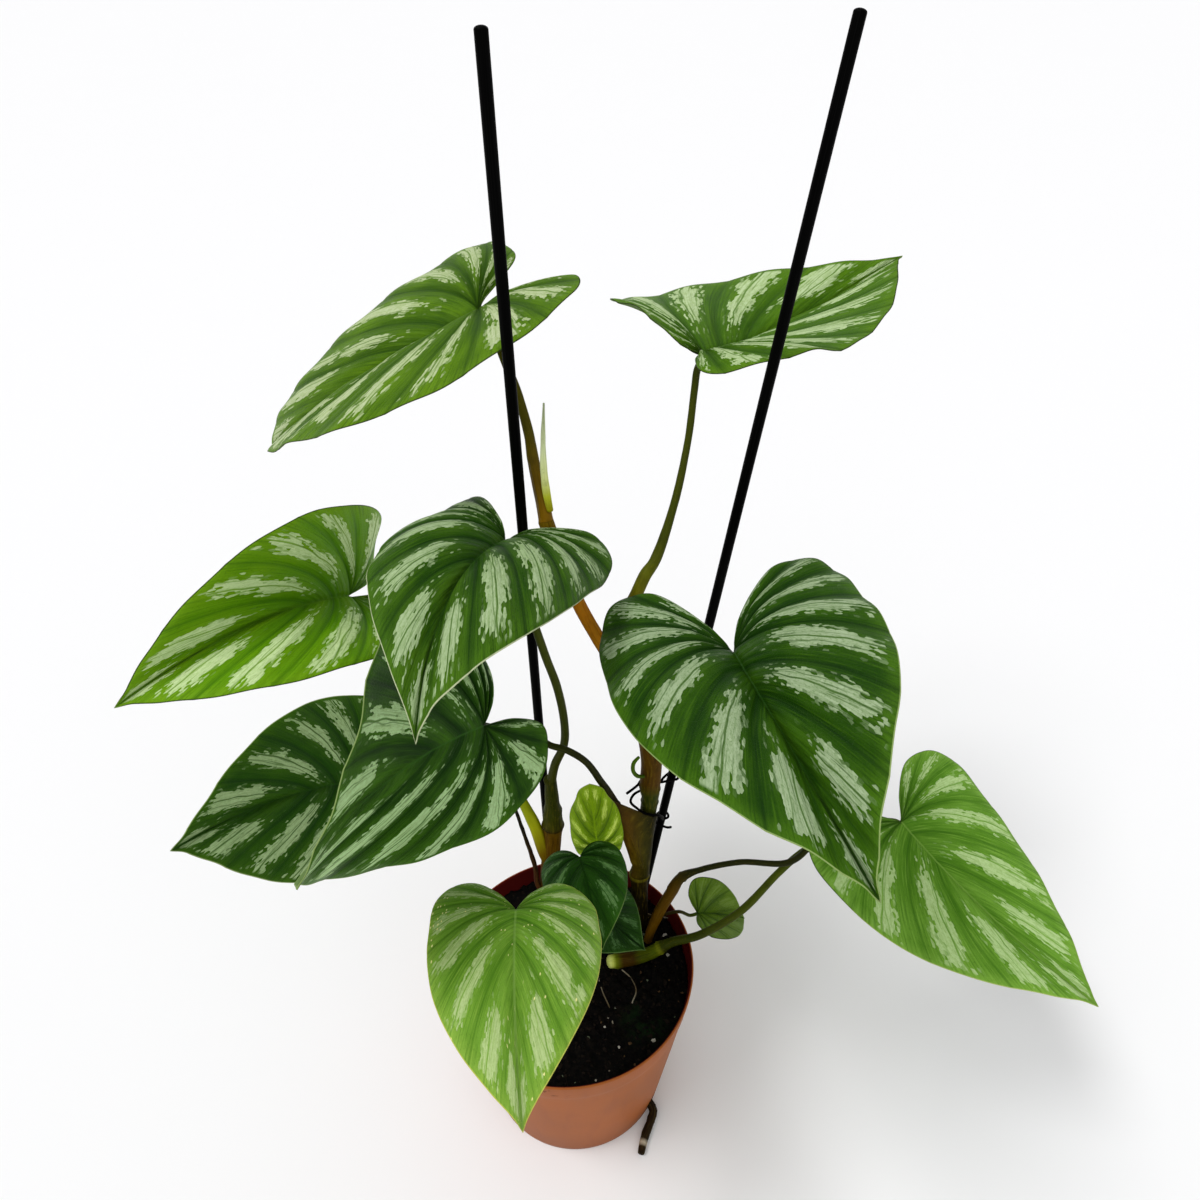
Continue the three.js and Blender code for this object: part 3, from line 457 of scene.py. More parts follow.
# One leaf blade as a thin closed sheet, quilted between its sunken lateral veins. Its
# attributes tell the material where each spot lies: row, out, side, edge, under, vein, rib.
def bladeMesh(name, leaf, material, seed):
    sheet, veins, length = bladeSheet, leaf["veins"], leaf["size"][0]
    first, scale = sheet["firstVein"], length / usualLength
    numbers = np.linspace(first, veins, int(round((veins - first) * sheet["rowsPerVein"])) + 1)
    steps = np.linspace(0, 1, sheet["steps"] + 1) ** sheet["crowd"]
    count, wide = len(numbers), len(steps)
    row = np.repeat(numbers[:, None], wide, axis=1)
    out = np.repeat(steps[None, :], count, axis=0)
    # Relief that both halves share: a quilt between the veins, and waves along the margin
    tipFade = np.minimum(1, sheet["tipFade"] * (1 - row / veins))
    fade = np.minimum(1, out / sheet["quiltFrom"]) * (1 - sheet["quiltFade"] * out ** 3) * tipFade
    crest = np.abs(np.sin(np.pi * row)) ** sheet["furrow"]
    quilt = leaf["quilt"] * sheet["quiltLift"] * fade * np.where(row > 1, crest, 0)
    ripple = np.sin(2 * np.pi * row + seed) * np.clip((row - 1) / 2, 0, 1) * tipFade
    ripple = sheet["marginWave"] * scale * out ** 5 * ripple
    # A half's border runs from the joint round the lobe to the tip
    border = [(0, k) for k in range(wide)] + [(j, wide - 1) for j in range(1, count)]
    rim = tuple(np.array(values) for values in zip(*border))
    atMargin = rim[1] == wide - 1
    inward = (np.where(atMargin, rim[0], np.minimum(rim[0] + 1, count - 1)),
              np.where(atMargin, rim[1] - 1, rim[1]))
    points, marks = [], {key: [] for key in ("row", "out", "edge", "vein", "rib")}
    for side in (1, -1):
        x, y, span = veinGrid(leaf, side, numbers / veins, steps)
        base = placeOnBlade(leaf, side, x, y)
        normal = bladeNormal(leaf, side, x, y)
        pitch = np.linalg.norm(np.gradient(base, axis=0), axis=-1) / (numbers[1] - numbers[0])
        lateral = np.abs(row - np.round(row)) * pitch
        lateral[row < 0.9] = sheet["farVein"]
        edge = np.minimum((1 - out) * span[:, None], (row - first) * pitch)
        vein = np.exp(-(lateral / (sheet["grooveWidth"] * scale)) ** 2)
        vein = vein * (1 - sheet["grooveFade"] * out) * tipFade
        rib = np.exp(-(x / (sheet["midribHalf"] * scale)) ** 2)
        rolling = np.sin(0.071 * x + 0.053 * y * side + seed) * np.cos(0.083 * y - 0.04 * x + 1.7 * seed)
        relief = quilt + sheet["wave"] * scale * rolling * np.minimum(1, x / sheet["waveFrom"]) + ripple
        thick = np.clip(edge / sheet["edgeBand"], 0, 1)
        thick = sheet["edgeThick"] + (sheet["thick"] - sheet["edgeThick"]) * thick
        shallow = 1 - sheet["midribFade"] * np.clip(y / length, 0, 1)
        lift = relief + thick / 2 - sheet["groove"] * scale * vein
        lift = lift - sheet["midribGroove"] * scale * rib * shallow
        under = relief - thick / 2 - sheet["ridge"] * scale * vein
        under = under - sheet["midribRidge"] * scale * rib * shallow
        top = base + normal * lift[..., None]
        bottom = base + normal * np.minimum(under, lift - sheet["leastThick"])[..., None]
        # The outermost line, half way between the faces, stands out a little from both
        outward = unit(base[rim] - base[inward])
        axis = placeOnBlade(leaf, 1, np.zeros(4), np.array([0, 0.03, 0.97, 1.0]) * length)
        outward[0] = unit(axis[0] - axis[1])
        outward[-1] = unit(axis[3] - axis[2])
        rimLine = (top + bottom)[rim] / 2 + outward * sheet["rim"]
        points += [top.reshape(-1, 3), bottom.reshape(-1, 3), rimLine]
        for key, grid in (("row", row), ("out", out), ("edge", edge), ("vein", lateral), ("rib", x)):
            marks[key] += [grid.ravel(), grid.ravel(), 0 * rim[0] if key == "edge" else grid[rim]]
    ids, (a, b, c, d) = gridCorners(count, wide)
    size, line = ids.size, ids[rim]
    middle = 2 * size + np.arange(len(line))
    t0, t1, m0, m1, b0, b1 = line[:-1], line[1:], middle[:-1], middle[1:], line[:-1] + size, line[1:] + size
    topFaces = facesOf((a, b, c), (a, c, d))
    rimFaces = facesOf((t0, m0, m1), (t0, m1, t1), (m0, b0, b1), (m0, b1, m1))
    half = np.concatenate([topFaces, topFaces[:, [0, 2, 1]] + size, rimFaces])
    triangles = np.concatenate([half, half[:, [0, 2, 1]] + 2 * size + len(line)])
    isUnder = np.repeat([0, 1, 0.5], [len(topFaces), len(topFaces), len(rimFaces)])
    # The two halves meet at the midrib, the joint and the tip
    points = np.concatenate(points)
    firstUse, welded = np.unique(np.round(points * sheet["weld"]).astype(np.int64), axis=0,
                                 return_index=True, return_inverse=True)[1:]
    joined = welded.ravel()[triangles]
    kept = (joined != np.roll(joined, 1, axis=1)).all(axis=1)
    made = meshObject(name, points[firstUse], joined[kept], material)
    for key, lists in marks.items():
        values = np.concatenate(lists)
        if key in ("row", "out"):
            mark(made.data, key, values[triangles[kept]], "CORNER")
        else:
            mark(made.data, key, values[firstUse])
    mark(made.data, "side", np.repeat([1, 0], len(half))[kept], "FACE")
    mark(made.data, "under", np.tile(isUnder, 2)[kept], "FACE")
    return made


# Leaf colours as seen. cover: width of the silver patches; soft: how far they blend in; lobes: how
# much silver the lobes keep; specks: bright dots; paleFrom: row from which the margin is pale;
# streak and furrow: how strongly the green is streaked, and how much painted shade darkens the
# furrows beside the veins and the midrib. darkRim and rim paint shade and highlight on the margin.
leafTones = {
    "deep": (20, 52, 2), "mid": (54, 92, 8), "margin": (70, 110, 18), "rim": (150, 172, 104),
    "darkRim": (40, 50, 20), "patch": (172, 192, 152), "patchShade": (124, 150, 100),
    "vein": (10, 38, 2), "midrib": (34, 68, 16),
    "under": (96, 126, 58), "cover": 1.08, "soft": 0.03, "lobes": 0.5, "strength": 0.97, "specks": 0.0,
    "paleFrom": 4.2, "streak": 0.42, "furrow": 1.0,
}
# Each leaf's tones were scaled to how bright the leaf appears where it stands. Besides the leaf's own
# colour, they therefore carry painted light and shade: paler tones for lit leaves, darker ones for shaded
# leaves. small_bright's yellow-green also paints the light that shines through it from behind.
leafLooks = {
    "top_left": {"deep": (57, 94, 2), "mid": (93, 133, 11), "margin": (101, 141, 20),
                 "patch": (195, 209, 164), "patchShade": (160, 182, 117), "vein": (37, 72, 2),
                 "midrib": (89, 126, 32), "under": (110, 140, 50), "paleFrom": 9},
    "top_right": {"deep": (57, 99, 6), "mid": (86, 129, 15), "margin": (97, 138, 25),
                  "patch": (196, 217, 166), "patchShade": (160, 187, 120), "vein": (41, 76, 6),
                  "midrib": (88, 124, 36), "paleFrom": 9},
    "left": {"deep": (91, 148, 7), "mid": (115, 163, 15), "margin": (120, 168, 23),
             "patch": (218, 239, 180), "patchShade": (178, 209, 132), "vein": (57, 107, 7),
             "midrib": (94, 142, 34), "paleFrom": 9, "furrow": 0.7},
    "centre": {"deep": (33, 72, 3), "mid": (68, 107, 14), "rim": (206, 214, 172), "patch": (178, 200, 153),
               "patchShade": (137, 166, 106), "vein": (14, 47, 3), "margin": (77, 120, 21),
               "midrib": (38, 74, 18)},
    "big_right": {"deep": (25, 62, 3), "vein": (14, 46, 3), "mid": (58, 98, 9), "margin": (75, 117, 20),
                  "midrib": (37, 73, 18), "patch": (172, 192, 152), "patchShade": (124, 150, 100)},
    "far_right": {"deep": (80, 131, 24), "mid": (113, 162, 53), "margin": (138, 185, 71),
                  "rim": (178, 196, 110), "patch": (196, 223, 158), "patchShade": (160, 194, 115),
                  "vein": (55, 104, 17), "midrib": (127, 169, 71), "soft": 0.03, "strength": 0.9,
                  "streak": 0.55, "furrow": 0.45, "cover": 1.0},
    "front": {"deep": (96, 144, 36), "mid": (127, 173, 60), "margin": (153, 190, 73), "rim": (206, 206, 96),
              "patch": (200, 221, 155), "patchShade": (166, 194, 115), "vein": (69, 118, 26),
              "midrib": (134, 173, 79), "soft": 0.06, "strength": 0.9, "specks": 1.0, "paleFrom": 2,
              "streak": 0.5, "furrow": 0.45},
    "low_left_front": {"furrow": 0.8, "deep": (23, 59, 3), "mid": (67, 113, 19), "margin": (75, 121, 28),
                       "patch": (192, 226, 165), "vein": (16, 50, 3), "midrib": (53, 99, 28),
                       "patchShade": (160, 192, 129)},
    "low_left_back": {"deep": (35, 80, 6), "mid": (63, 106, 16), "margin": (71, 113, 23),
                      "patch": (191, 217, 160), "vein": (22, 62, 6), "midrib": (45, 88, 23),
                      "patchShade": (152, 183, 123)},
    "small_dark": {"deep": (18, 55, 3), "mid": (39, 83, 13), "margin": (54, 103, 22),
                   "patch": (116, 157, 94), "patchShade": (74, 118, 54), "rim": (110, 140, 70),
                   "midrib": (18, 55, 3), "vein": (15, 51, 3),
                   "cover": 0.62, "soft": 0.1, "streak": 0.5},
    "small_bright": {"deep": (91, 127, 3), "mid": (140, 179, 13), "margin": (147, 183, 27),
                     "rim": (150, 168, 70), "patch": (227, 248, 121), "patchShade": (183, 215, 61),
                     "vein": (71, 104, 3), "midrib": (140, 179, 13), "cover": 0.8, "soft": 0.12,
                     "under": (126, 156, 40), "streak": 0.7},
    "small_round": {"deep": (72, 102, 8), "mid": (96, 128, 20), "margin": (104, 136, 28),
                    "patch": (128, 156, 66), "patchShade": (106, 138, 48), "vein": (50, 80, 8),
                    "soft": 0.14, "strength": 0.6, "midrib": (44, 82, 14)},
    "small_corner": {"deep": (14, 48, 3), "mid": (32, 71, 11), "margin": (48, 90, 21),
                     "patch": (98, 139, 81), "patchShade": (62, 103, 46), "rim": (100, 132, 70),
                     "midrib": (14, 48, 3), "vein": (14, 48, 3), "cover": 0.6, "soft": 0.1},
}
# Small cells of a blade: how many between two laterals and how many along one
areole = {"across": 24, "along": 36, "randomness": 0.9,
          "shiftSide": 57.3, "shiftRow": 13.1, "shiftOut": 7.7}

# A silver patch in each band between two laterals. along runs from 0 at the midrib to 1 at the
# margin, across in bands; the values that end in Varies are drawn anew for each band.
silverPatch = {
    "start": 0.22, "startVaries": 0.14, "startAtTip": 0.2, "endVaries": 0.06, "taper": 4.0,
    "width": 0.16, "widthVaries": 0.06, "widthAtTip": 0.08, "centreVaries": 0.12,
    "broad": 0.44, "fine": 0.34, "spiky": 0.34, "raggedLobe": 0.9, "raggedOut": 0.35, "raggedEnds": 0.3,
    "cellJitter": 0.04, "fleckAt": 0.59, "fleck": 0.9, "lineWander": 0.16, "firstLineVaries": 0.24,
    "secondWander": 0.2, "secondLineVaries": 0.34, "cut": 0.85, "edgeFrom": 0.9, "edgeFull": 2.2,
}
dotColour = (255, 250, 170)
bladeBump = {"distance": 0.00017, "strength": 0.9}


def bladeLook(name, seed):
    tones, silverOf = painted({**leafTones, **leafLooks[name]}), silverPatch
    look = Look("leaf_" + name)
    scale, last = leaves[name]["size"][0] / usualLength, leaves[name]["veins"]
    row, out, side, edge, under, rib, vein = (
        look.attribute(key) for key in ("row", "out", "side", "edge", "under", "rib", "vein"))
    step = look.step

    def speckle(across, along, shift, detail=2.0):
        return look.noise(look.combine(across, along, seed + shift), 1.0, detail)

    # Silver follows the small cells, so its edge runs in steps along the veins
    shiftRow, shiftOut = side * areole["shiftSide"] + seed * areole["shiftRow"], seed * areole["shiftOut"]
    cellPlace = look.combine(row * areole["across"] + shiftRow, out * areole["along"] + shiftOut, 0.0)
    cell = look.cells(cellPlace, 1.0, areole["randomness"], voronoi_dimensions="2D")
    centreX, centreY = look.split(cell["Position"])[:2]
    cellRow = (centreX - shiftRow) / areole["across"]
    cellOut = (centreY - shiftOut) / areole["along"]
    band = look.math("FLOOR", cellRow)
    startDraw, endDraw, widthDraw = look.draw(band, side, seed * 1.0)
    centreDraw, firstDraw, secondDraw = look.draw(band, side, seed + 40.0)
    tint = look.split(cell["Color"])[0]
    atTip = step(cellRow, last - 2.2, last - 1.6)
    start = silverOf["start"] + silverOf["startVaries"] * startDraw + atTip * silverOf["startAtTip"]
    share = (cellOut - start) / (1.0 - silverOf["endVaries"] * endDraw - start)
    reach = 1 - abs(2 * share - 1) ** silverOf["taper"]
    inLobe = step(cellRow, 3.0, 1.2)
    width = silverOf["width"] + silverOf["widthVaries"] * widthDraw + atTip * silverOf["widthAtTip"]
    width = width * tones["cover"] * (1 - inLobe * (1 - tones["lobes"]))
    centre = (centreDraw - 0.5) * silverOf["centreVaries"]
    across = abs(look.math("FRACT", cellRow) - 0.5 - centre)
    broad = speckle(cellRow * 2.6 + side * 9, cellOut * 5.0, 0.0)
    fine = speckle(cellRow * 15 + side * 5, cellOut * 9, 20.0)
    spiky = speckle(cellRow * 22 + side * 2, cellOut * 3.5, 51.0, 1.0)
    ragged = ((broad - 0.5) * silverOf["broad"] + (fine - 0.5) * silverOf["fine"]
              + (spiky - 0.5) * silverOf["spiky"])
    outward, ends = step(share, 0.5, 1.0), step(abs(share - 0.5), 0.2, 0.5)
    wilder = (1 + inLobe * silverOf["raggedLobe"] + outward * silverOf["raggedOut"]
              + ends * silverOf["raggedEnds"])
    field = width * reach - across + ragged * wilder + (tint - 0.5) * silverOf["cellJitter"]
    patch = step(field, -0.5 * tones["soft"], tones["soft"])
    # Flecks scatter round the ends and sides of each patch
    flake = speckle(cellRow * 13 + side * 3, cellOut * 11, 33.0, 1.0)
    near = step(width * 1.5 - across, 0, 0.08) * step(share, -0.3, 0) * step(share, 1.12, 1.0)
    fleck = step(flake, silverOf["fleckAt"], silverOf["fleckAt"] + 0.02 + tones["soft"]) * near
    silver = look.math("MAXIMUM", patch, fleck * silverOf["fleck"])
    # One or two fine dark veins run through each patch, with dashes beside them
    inBand = look.math("FRACT", row) - 0.5
    wander = speckle(out * 5, row * 0.6 + side * 7, 3.0, 1.0) - 0.5
    firstLine = abs(inBand - centre + wander * silverOf["lineWander"]
                    - (firstDraw - 0.5) * silverOf["firstLineVaries"])
    secondLine = abs(inBand - centre - wander * silverOf["secondWander"]
                     - (secondDraw - 0.5) * silverOf["secondLineVaries"])
    dashes = speckle(row * 30, out * 3.4 + side * 3, 9.0)
    lines = look.math("MAXIMUM", step(firstLine, 0.026, 0.01), step(secondLine, 0.018, 0.006) * 0.7)
    cuts = look.math("MAXIMUM", lines, step(dashes, 0.6, 0.68) * 0.75)
    inside = step(edge, silverOf["edgeFrom"], silverOf["edgeFull"])
    silver = silver * (1 - cuts * silverOf["cut"]) * inside * tones["strength"]
    # Green of the blade, with streaks along the laterals. Light and shade are painted into it: a painted
    # highlight on the quilted crests between the laterals, and painted shade in the furrows along the
    # laterals and beside the midrib.
    mottle = speckle(row * 1.3 + side * 11, out * 3, 5.0, 3.0)
    # crest is 1 half way between two laterals; through tone it paints a highlight on the quilt's crests
    crest = 1 - abs(inBand) * 2
    nearPoint, atPoint = step(row, last - 2.2, last - 0.6), step(row, last - 0.4, last - 1.8)
    tone = 0.05 + crest * 0.55 + (mottle - 0.5) * 1.1 + step(out, 0.1, 0.9) * 0.25 + nearPoint * 0.3
    grain = speckle(row * 30, out * 3.5 + side * 4, 2.0, 3.0)
    specks = speckle(row * 46 + side * 6, out * 60, 8.0)
    # furrow: painted shade in the broad furrows along the lateral veins
    furrow = step(vein, 2.6 * scale, 0.3) * (1 - out * 0.5) * atPoint * 0.55 * tones["furrow"]
    green = look.layers(
        tones["deep"],
        (step(tone, 0.0, 1.0), tones["mid"]),
        (step(edge, 6.0, 0.0) * 0.5, tones["margin"]),
        (step(grain, 0.5, 0.72) * tones["streak"], tones["margin"]),
        (step(grain, 0.5, 0.3) * 0.5, tones["vein"]),
        (step(specks, 0.55, 0.75) * 0.5, tones["vein"]),
        (furrow, tones["vein"]),
        # A narrow dark line on each lateral: the vein's own darker colour, with painted shade in its groove
        (step(vein, 0.7, 0.15) * (1 - out * 0.6) * atPoint * 0.55, tones["vein"]),
    )
    worn = tint * 0.4 + step(dashes, 0.3, 0.6) * 0.3 + step(specks, 0.5, 0.75) * 0.6
    dust = look.layers(tones["patch"], (step(worn, 0.0, 1.1), tones["patchShade"]))
    # beside: painted shade in the furrow beside the midrib, fading towards the tip
    beside = step(rib, 2.0 * scale, 0.4) * step(row, last - 2.0, 3.0) * 0.45 * tones["furrow"]
    colour = look.layers(green, (silver, dust), (beside, tones["vein"]),
                         (step(rib, 0.6, 0.2) * 0.7, tones["midrib"]))
    if tones["specks"]:
        dot = look.cells(look.combine(row * 6 + side * 17, out * 21, 0.0), voronoi_dimensions="2D")
        cluster = side * step(edge, 7.0, 3.0) * step(abs(row - 3.3), 0.9, 0.4)
        chance = look.split(dot["Color"])[1] - 0.97 + cluster * 0.45
        dots = step(dot["Distance"], 0.22, 0.1) * step(chance, 0.0, 0.01)
        colour = look.layers(colour, (dots, paint(*dotColour)))
    # The thin rim is darkRim before row paleFrom and the pale rim tone from there on: partly the margin's
    # own colour, partly painted shade on the lobes' edges and a painted highlight on the lit edges near the
    # tip.
    pale = step(row, tones["paleFrom"] - 0.8, tones["paleFrom"])
    # The underside is paler and matt, with the silver only a shade in it
    back = look.layers(tones["under"], (silver * 0.25 + (mottle - 0.4) * 0.4, tones["patchShade"]),
                       (step(vein, 0.8, 0.2) * 0.5, tones["rim"]))
    rim = look.layers(tones["darkRim"], (pale, tones["rim"]))
    colour = look.layers(colour, (step(edge, 0.32, 0.1) * 0.85, rim), (step(under, 0.7, 0.9), back))
    netting = look.cells(cellPlace, 1.0, areole["randomness"], voronoi_dimensions="2D",
                         feature="DISTANCE_TO_EDGE")["Distance"]
    height = (step(netting, 0.0, 0.16) * 0.5 + look.math("SINE", row * math.tau * 5) * 0.6
              + silver * 0.4 + grain * 1.1)
    rough = 0.46 + silver * 0.08 + under * 0.1 + (mottle - 0.5) * 0.16
    return look.surface((height, bladeBump["distance"], bladeBump["strength"]),
                        colour=colour, rough=rough, specular=0.07)


for index, (name, leaf) in enumerate(leaves.items()):
    seed = 3 + 2 * index
    blade = bladeMesh("leaf_" + name, leaf, bladeLook(name, seed), seed)
    finishPiece(blade, "blade_" + name)
print("leaves made:", len(leaves))


# Stems, petioles, roots, stakes and the tie follow routes of x, y, z, radius
def smoothPath(route, pitch):
    knots = np.array(route, dtype=float)
    ends = np.vstack([2 * knots[0] - knots[1], knots, 2 * knots[-1] - knots[-2]])
    pieces, places = [], []
    for k in range(len(knots) - 1):
        p0, p1, p2, p3 = (ends[k + i] for i in range(4))
        gaps = [max(np.linalg.norm(b[:3] - a[:3]) ** 0.5, 1e-3) for a, b in ((p0, p1), (p1, p2), (p2, p3))]
        m1 = (p1 - p0) / gaps[0] - (p2 - p0) / (gaps[0] + gaps[1]) + (p2 - p1) / gaps[1]
        m2 = (p2 - p1) / gaps[1] - (p3 - p1) / (gaps[1] + gaps[2]) + (p3 - p2) / gaps[2]
        m1, m2 = m1 * gaps[1], m2 * gaps[1]
        count = max(2, int(round(np.linalg.norm(p2[:3] - p1[:3]) / pitch)))
        t = (np.arange(count) / count)[:, None]
        point = p1 + m1 * t + (3 * (p2 - p1) - 2 * m1 - m2) * t ** 2 + (2 * (p1 - p2) + m1 + m2) * t ** 3
        point[:, 3] = (p1[3] + (p2[3] - p1[3]) * (1 - np.cos(np.pi * t)) / 2)[:, 0]
        pieces.append(point)
        places.append(k + t[:, 0])
    return np.vstack(pieces + [knots[-1:]]), np.concatenate(places + [[len(knots) - 1.0]])


domeTurns, domeDepth = (25, 50, 70, 86), 0.5


# Rounds one end of a path with a few closing rings
def domeEnd(path, places, atEnd):
    rim, inner = (path[-1], path[-2]) if atEnd else (path[0], path[1])
    heading = unit(rim[:3] - inner[:3])
    turns = np.radians(domeTurns)[:, None]
    dome = np.hstack([rim[:3] + heading * rim[3] * domeDepth * np.sin(turns), rim[3] * np.cos(turns)])
    if atEnd:
        return np.vstack([path, dome]), np.concatenate([places, [places[-1]] * len(dome)])
    return np.vstack([dome[::-1], path]), np.concatenate([[places[0]] * len(dome), places])


# A Geometry Nodes tree with named inputs; its first socket is the geometry
def newTree(name, sockets):
    tree = bpy.data.node_groups.new(name, "GeometryNodeTree")
    tree.interface.new_socket("Geometry", in_out="OUTPUT", socket_type="NodeSocketGeometry")
    for label, kind, value in [("Geometry", "Geometry", None), *sockets]:
        socket = tree.interface.new_socket(label, in_out="INPUT", socket_type="NodeSocket" + kind)
        if value is not None:
            socket.default_value = value
    graph = Graph(tree)
    entry = graph.node("NodeGroupInput")
    return graph, {socket.name: Wire(graph, socket) for socket in entry.outputs if socket.name}


def closeTree(graph, geometry, material):
    whole = graph.wire("GeometryNodeRealizeInstances", None, {"Geometry": geometry})
    coated = graph.wire("GeometryNodeSetMaterial", None, {"Geometry": whole, "Material": material})
    graph.node("NodeGroupOutput", None, {"Geometry": coated})
    return graph.tree


def applyTree(made, tree, settings):
    modifier = made.modifiers.new(tree.name, "NODES")
    modifier.node_group = tree
    for item in tree.interface.items_tree:
        if item.in_out == "INPUT" and item.name in settings:
            modifier[item.identifier] = settings[item.name]
    return settle(made)


seamTightness, grainStretch = 13, 0.35


# A round stalk along a path: grain, and a seam where a sheath closes round it
def makeStalkTree():
    graph, inputs = newTree("stalkAlongPath", [
        ("Sides", "Int", 20), ("Grain Height", "Float", 0.0001), ("Grain Size", "Float", 300.0),
        ("Seam Depth", "Float", 0.0006), ("Material", "Material", None),
    ])

    def named(name):
        return graph.wire("GeometryNodeInputNamedAttribute", {"data_type": "FLOAT"}, {"Name": name})

    curve = graph.wire("GeometryNodeMeshToCurve", None, {"Mesh": inputs["Geometry"]})
    ring = graph.wire("GeometryNodeCurvePrimitiveCircle", None,
                      {"Resolution": inputs["Sides"], "Radius": 1.0})
    turn = graph.wire("GeometryNodeSplineParameter", None, None, "Factor")
    ring = graph.wire("GeometryNodeStoreNamedAttribute", {"data_type": "FLOAT", "domain": "POINT"},
                      {"Geometry": ring, "Name": "around", "Value": turn})
    stalk = graph.wire("GeometryNodeCurveToMesh", None, {
        "Curve": curve, "Profile Curve": ring, "Scale": named("thick"), "Fill Caps": True})
    stretch = (1.0, 1.0, grainStretch)
    stretched = graph.vectorMath("MULTIPLY", graph.wire("GeometryNodeInputPosition"), stretch)
    grain = graph.noise(stretched, inputs["Grain Size"], 2.0)
    seam = graph.math("EXPONENT", ((named("around") - 0.5) * seamTightness) ** 2.0 * -1)
    lift = (grain - 0.5) * inputs["Grain Height"] * 2 - seam * named("sheath") * inputs["Seam Depth"]
    offset = graph.scaled(graph.wire("GeometryNodeInputNormal"), lift)
    stalk = graph.wire("GeometryNodeSetPosition", None, {"Geometry": stalk, "Offset": offset})
    stalk = graph.wire("GeometryNodeSetShadeSmooth", None, {"Geometry": stalk})
    return closeTree(graph, stalk, inputs["Material"])


stalkTree = makeStalkTree()
tintDepth = 1.3  # deepens every stalk's colours, and more so its darker ones
oliveShade = (0.8, 1.0, 0.25)  # red, green and blue of stems and petioles, towards olive
plainShade = (1.0, 1.0, 1.0)
sheathFade = 0.15  # of a route place


# Colours along a route: pairs of route place and colour
def tintsAt(places, paints, shade=plainShade):
    stops = [place for place, colour in paints]
    linear = np.array([paint(*colour) for place, colour in paints]) ** tintDepth * [*shade, 1.0]
    return np.stack([np.interp(places, stops, linear[:, i]) for i in range(4)], axis=1)


# rings: route place, rise and width of each node ring; sheaths: where the seam shows
def stalkPiece(name, stalk, material, route=None):
    path, places = smoothPath(route or stalk["route"], stalk.get("pitch", 1.0))
    for ringPlace, rise, width in stalk.get("rings", []):
        middle = np.interp(ringPlace, places, np.arange(len(places)))
        near = np.linalg.norm(path[:, :3] - path[int(round(middle)), :3], axis=1)
        path[:, 3] += rise * np.exp(-(near / width) ** 2)
    sheath = np.zeros(len(places))
    for begin, end in stalk.get("sheaths", []):
        inside = np.minimum(places - begin, end - places)
        sheath = np.maximum(sheath, np.clip(inside / sheathFade, 0, 1))
    if stalk.get("domeStart"):
        path, places = domeEnd(path, places, False)
    path, places = domeEnd(path, places, True)
    sheath = np.interp(places, np.linspace(places[0], places[-1], len(sheath)), sheath)
    mesh = bpy.data.meshes.new(name)
    mesh.from_pydata((path[:, :3] * mm).tolist(), [(i, i + 1) for i in range(len(path) - 1)], [])
    lengths = np.concatenate([[0], np.cumsum(np.linalg.norm(np.diff(path[:, :3], axis=0), axis=1))])
    for key, values in (("thick", path[:, 3] * mm), ("sheath", sheath), ("along", lengths)):
        mark(mesh, key, values)
    markTint(mesh, tintsAt(places, stalk["paints"], stalk.get("shade", oliveShade)))
    return applyTree(addObject(name, mesh), stalkTree, {
        "Sides": stalk.get("sides", 20), "Grain Height": stalk.get("grain", 0.1) * mm,
        "Grain Size": stalk.get("grainSize", 260.0), "Seam Depth": stalk.get("seam", 0.6) * mm,
        "Material": material})


# Skin of stems and petioles: the tint along the route, with fibres, pores and scars
skinTones = {"darker": (22, 18, 2), "lighter": (126, 108, 24)}


def stalkLook(name, fibre, pores, rough, specular):
    look, tones = Look(name), painted(skinTones)
    around = look.roundAbout(look.attribute("around"), 2.2, look.attribute("along") * 0.05)
    streak = look.noise(around, 3.0, 3.0)
    cloud = look.noise(look.place(), 110.0, 3.0)
    dots = look.step(look.cells(look.place(), 620.0)["Distance"], 0.22, 0.1)
    colour = look.layers(
        look.attribute("tint", "Color"),
        (look.step(streak, 0.5, 0.8) * fibre, tones["lighter"]),
        (look.step(streak, 0.5, 0.25) * fibre * 1.4, tones["darker"]),
        (look.step(cloud, 0.55, 0.75) * 0.3, tones["darker"]),
        (dots * pores * 0.5, tones["lighter"]),
    )
    return look.surface((streak * 0.8 + dots * 0.3 + cloud * 0.5, 0.0002, 0.7),
                        colour=colour, rough=rough + cloud * 0.16, specular=specular)


petioleSkin = stalkLook("petiole_skin", 0.2, 0.4, 0.44, 0.08)
stemSkin = stalkLook("stem_skin", 0.35, 0.35, 0.5, 0.06)
rootSkin = stalkLook("root_skin", 0.4, 0.3, 0.7, 0.08)

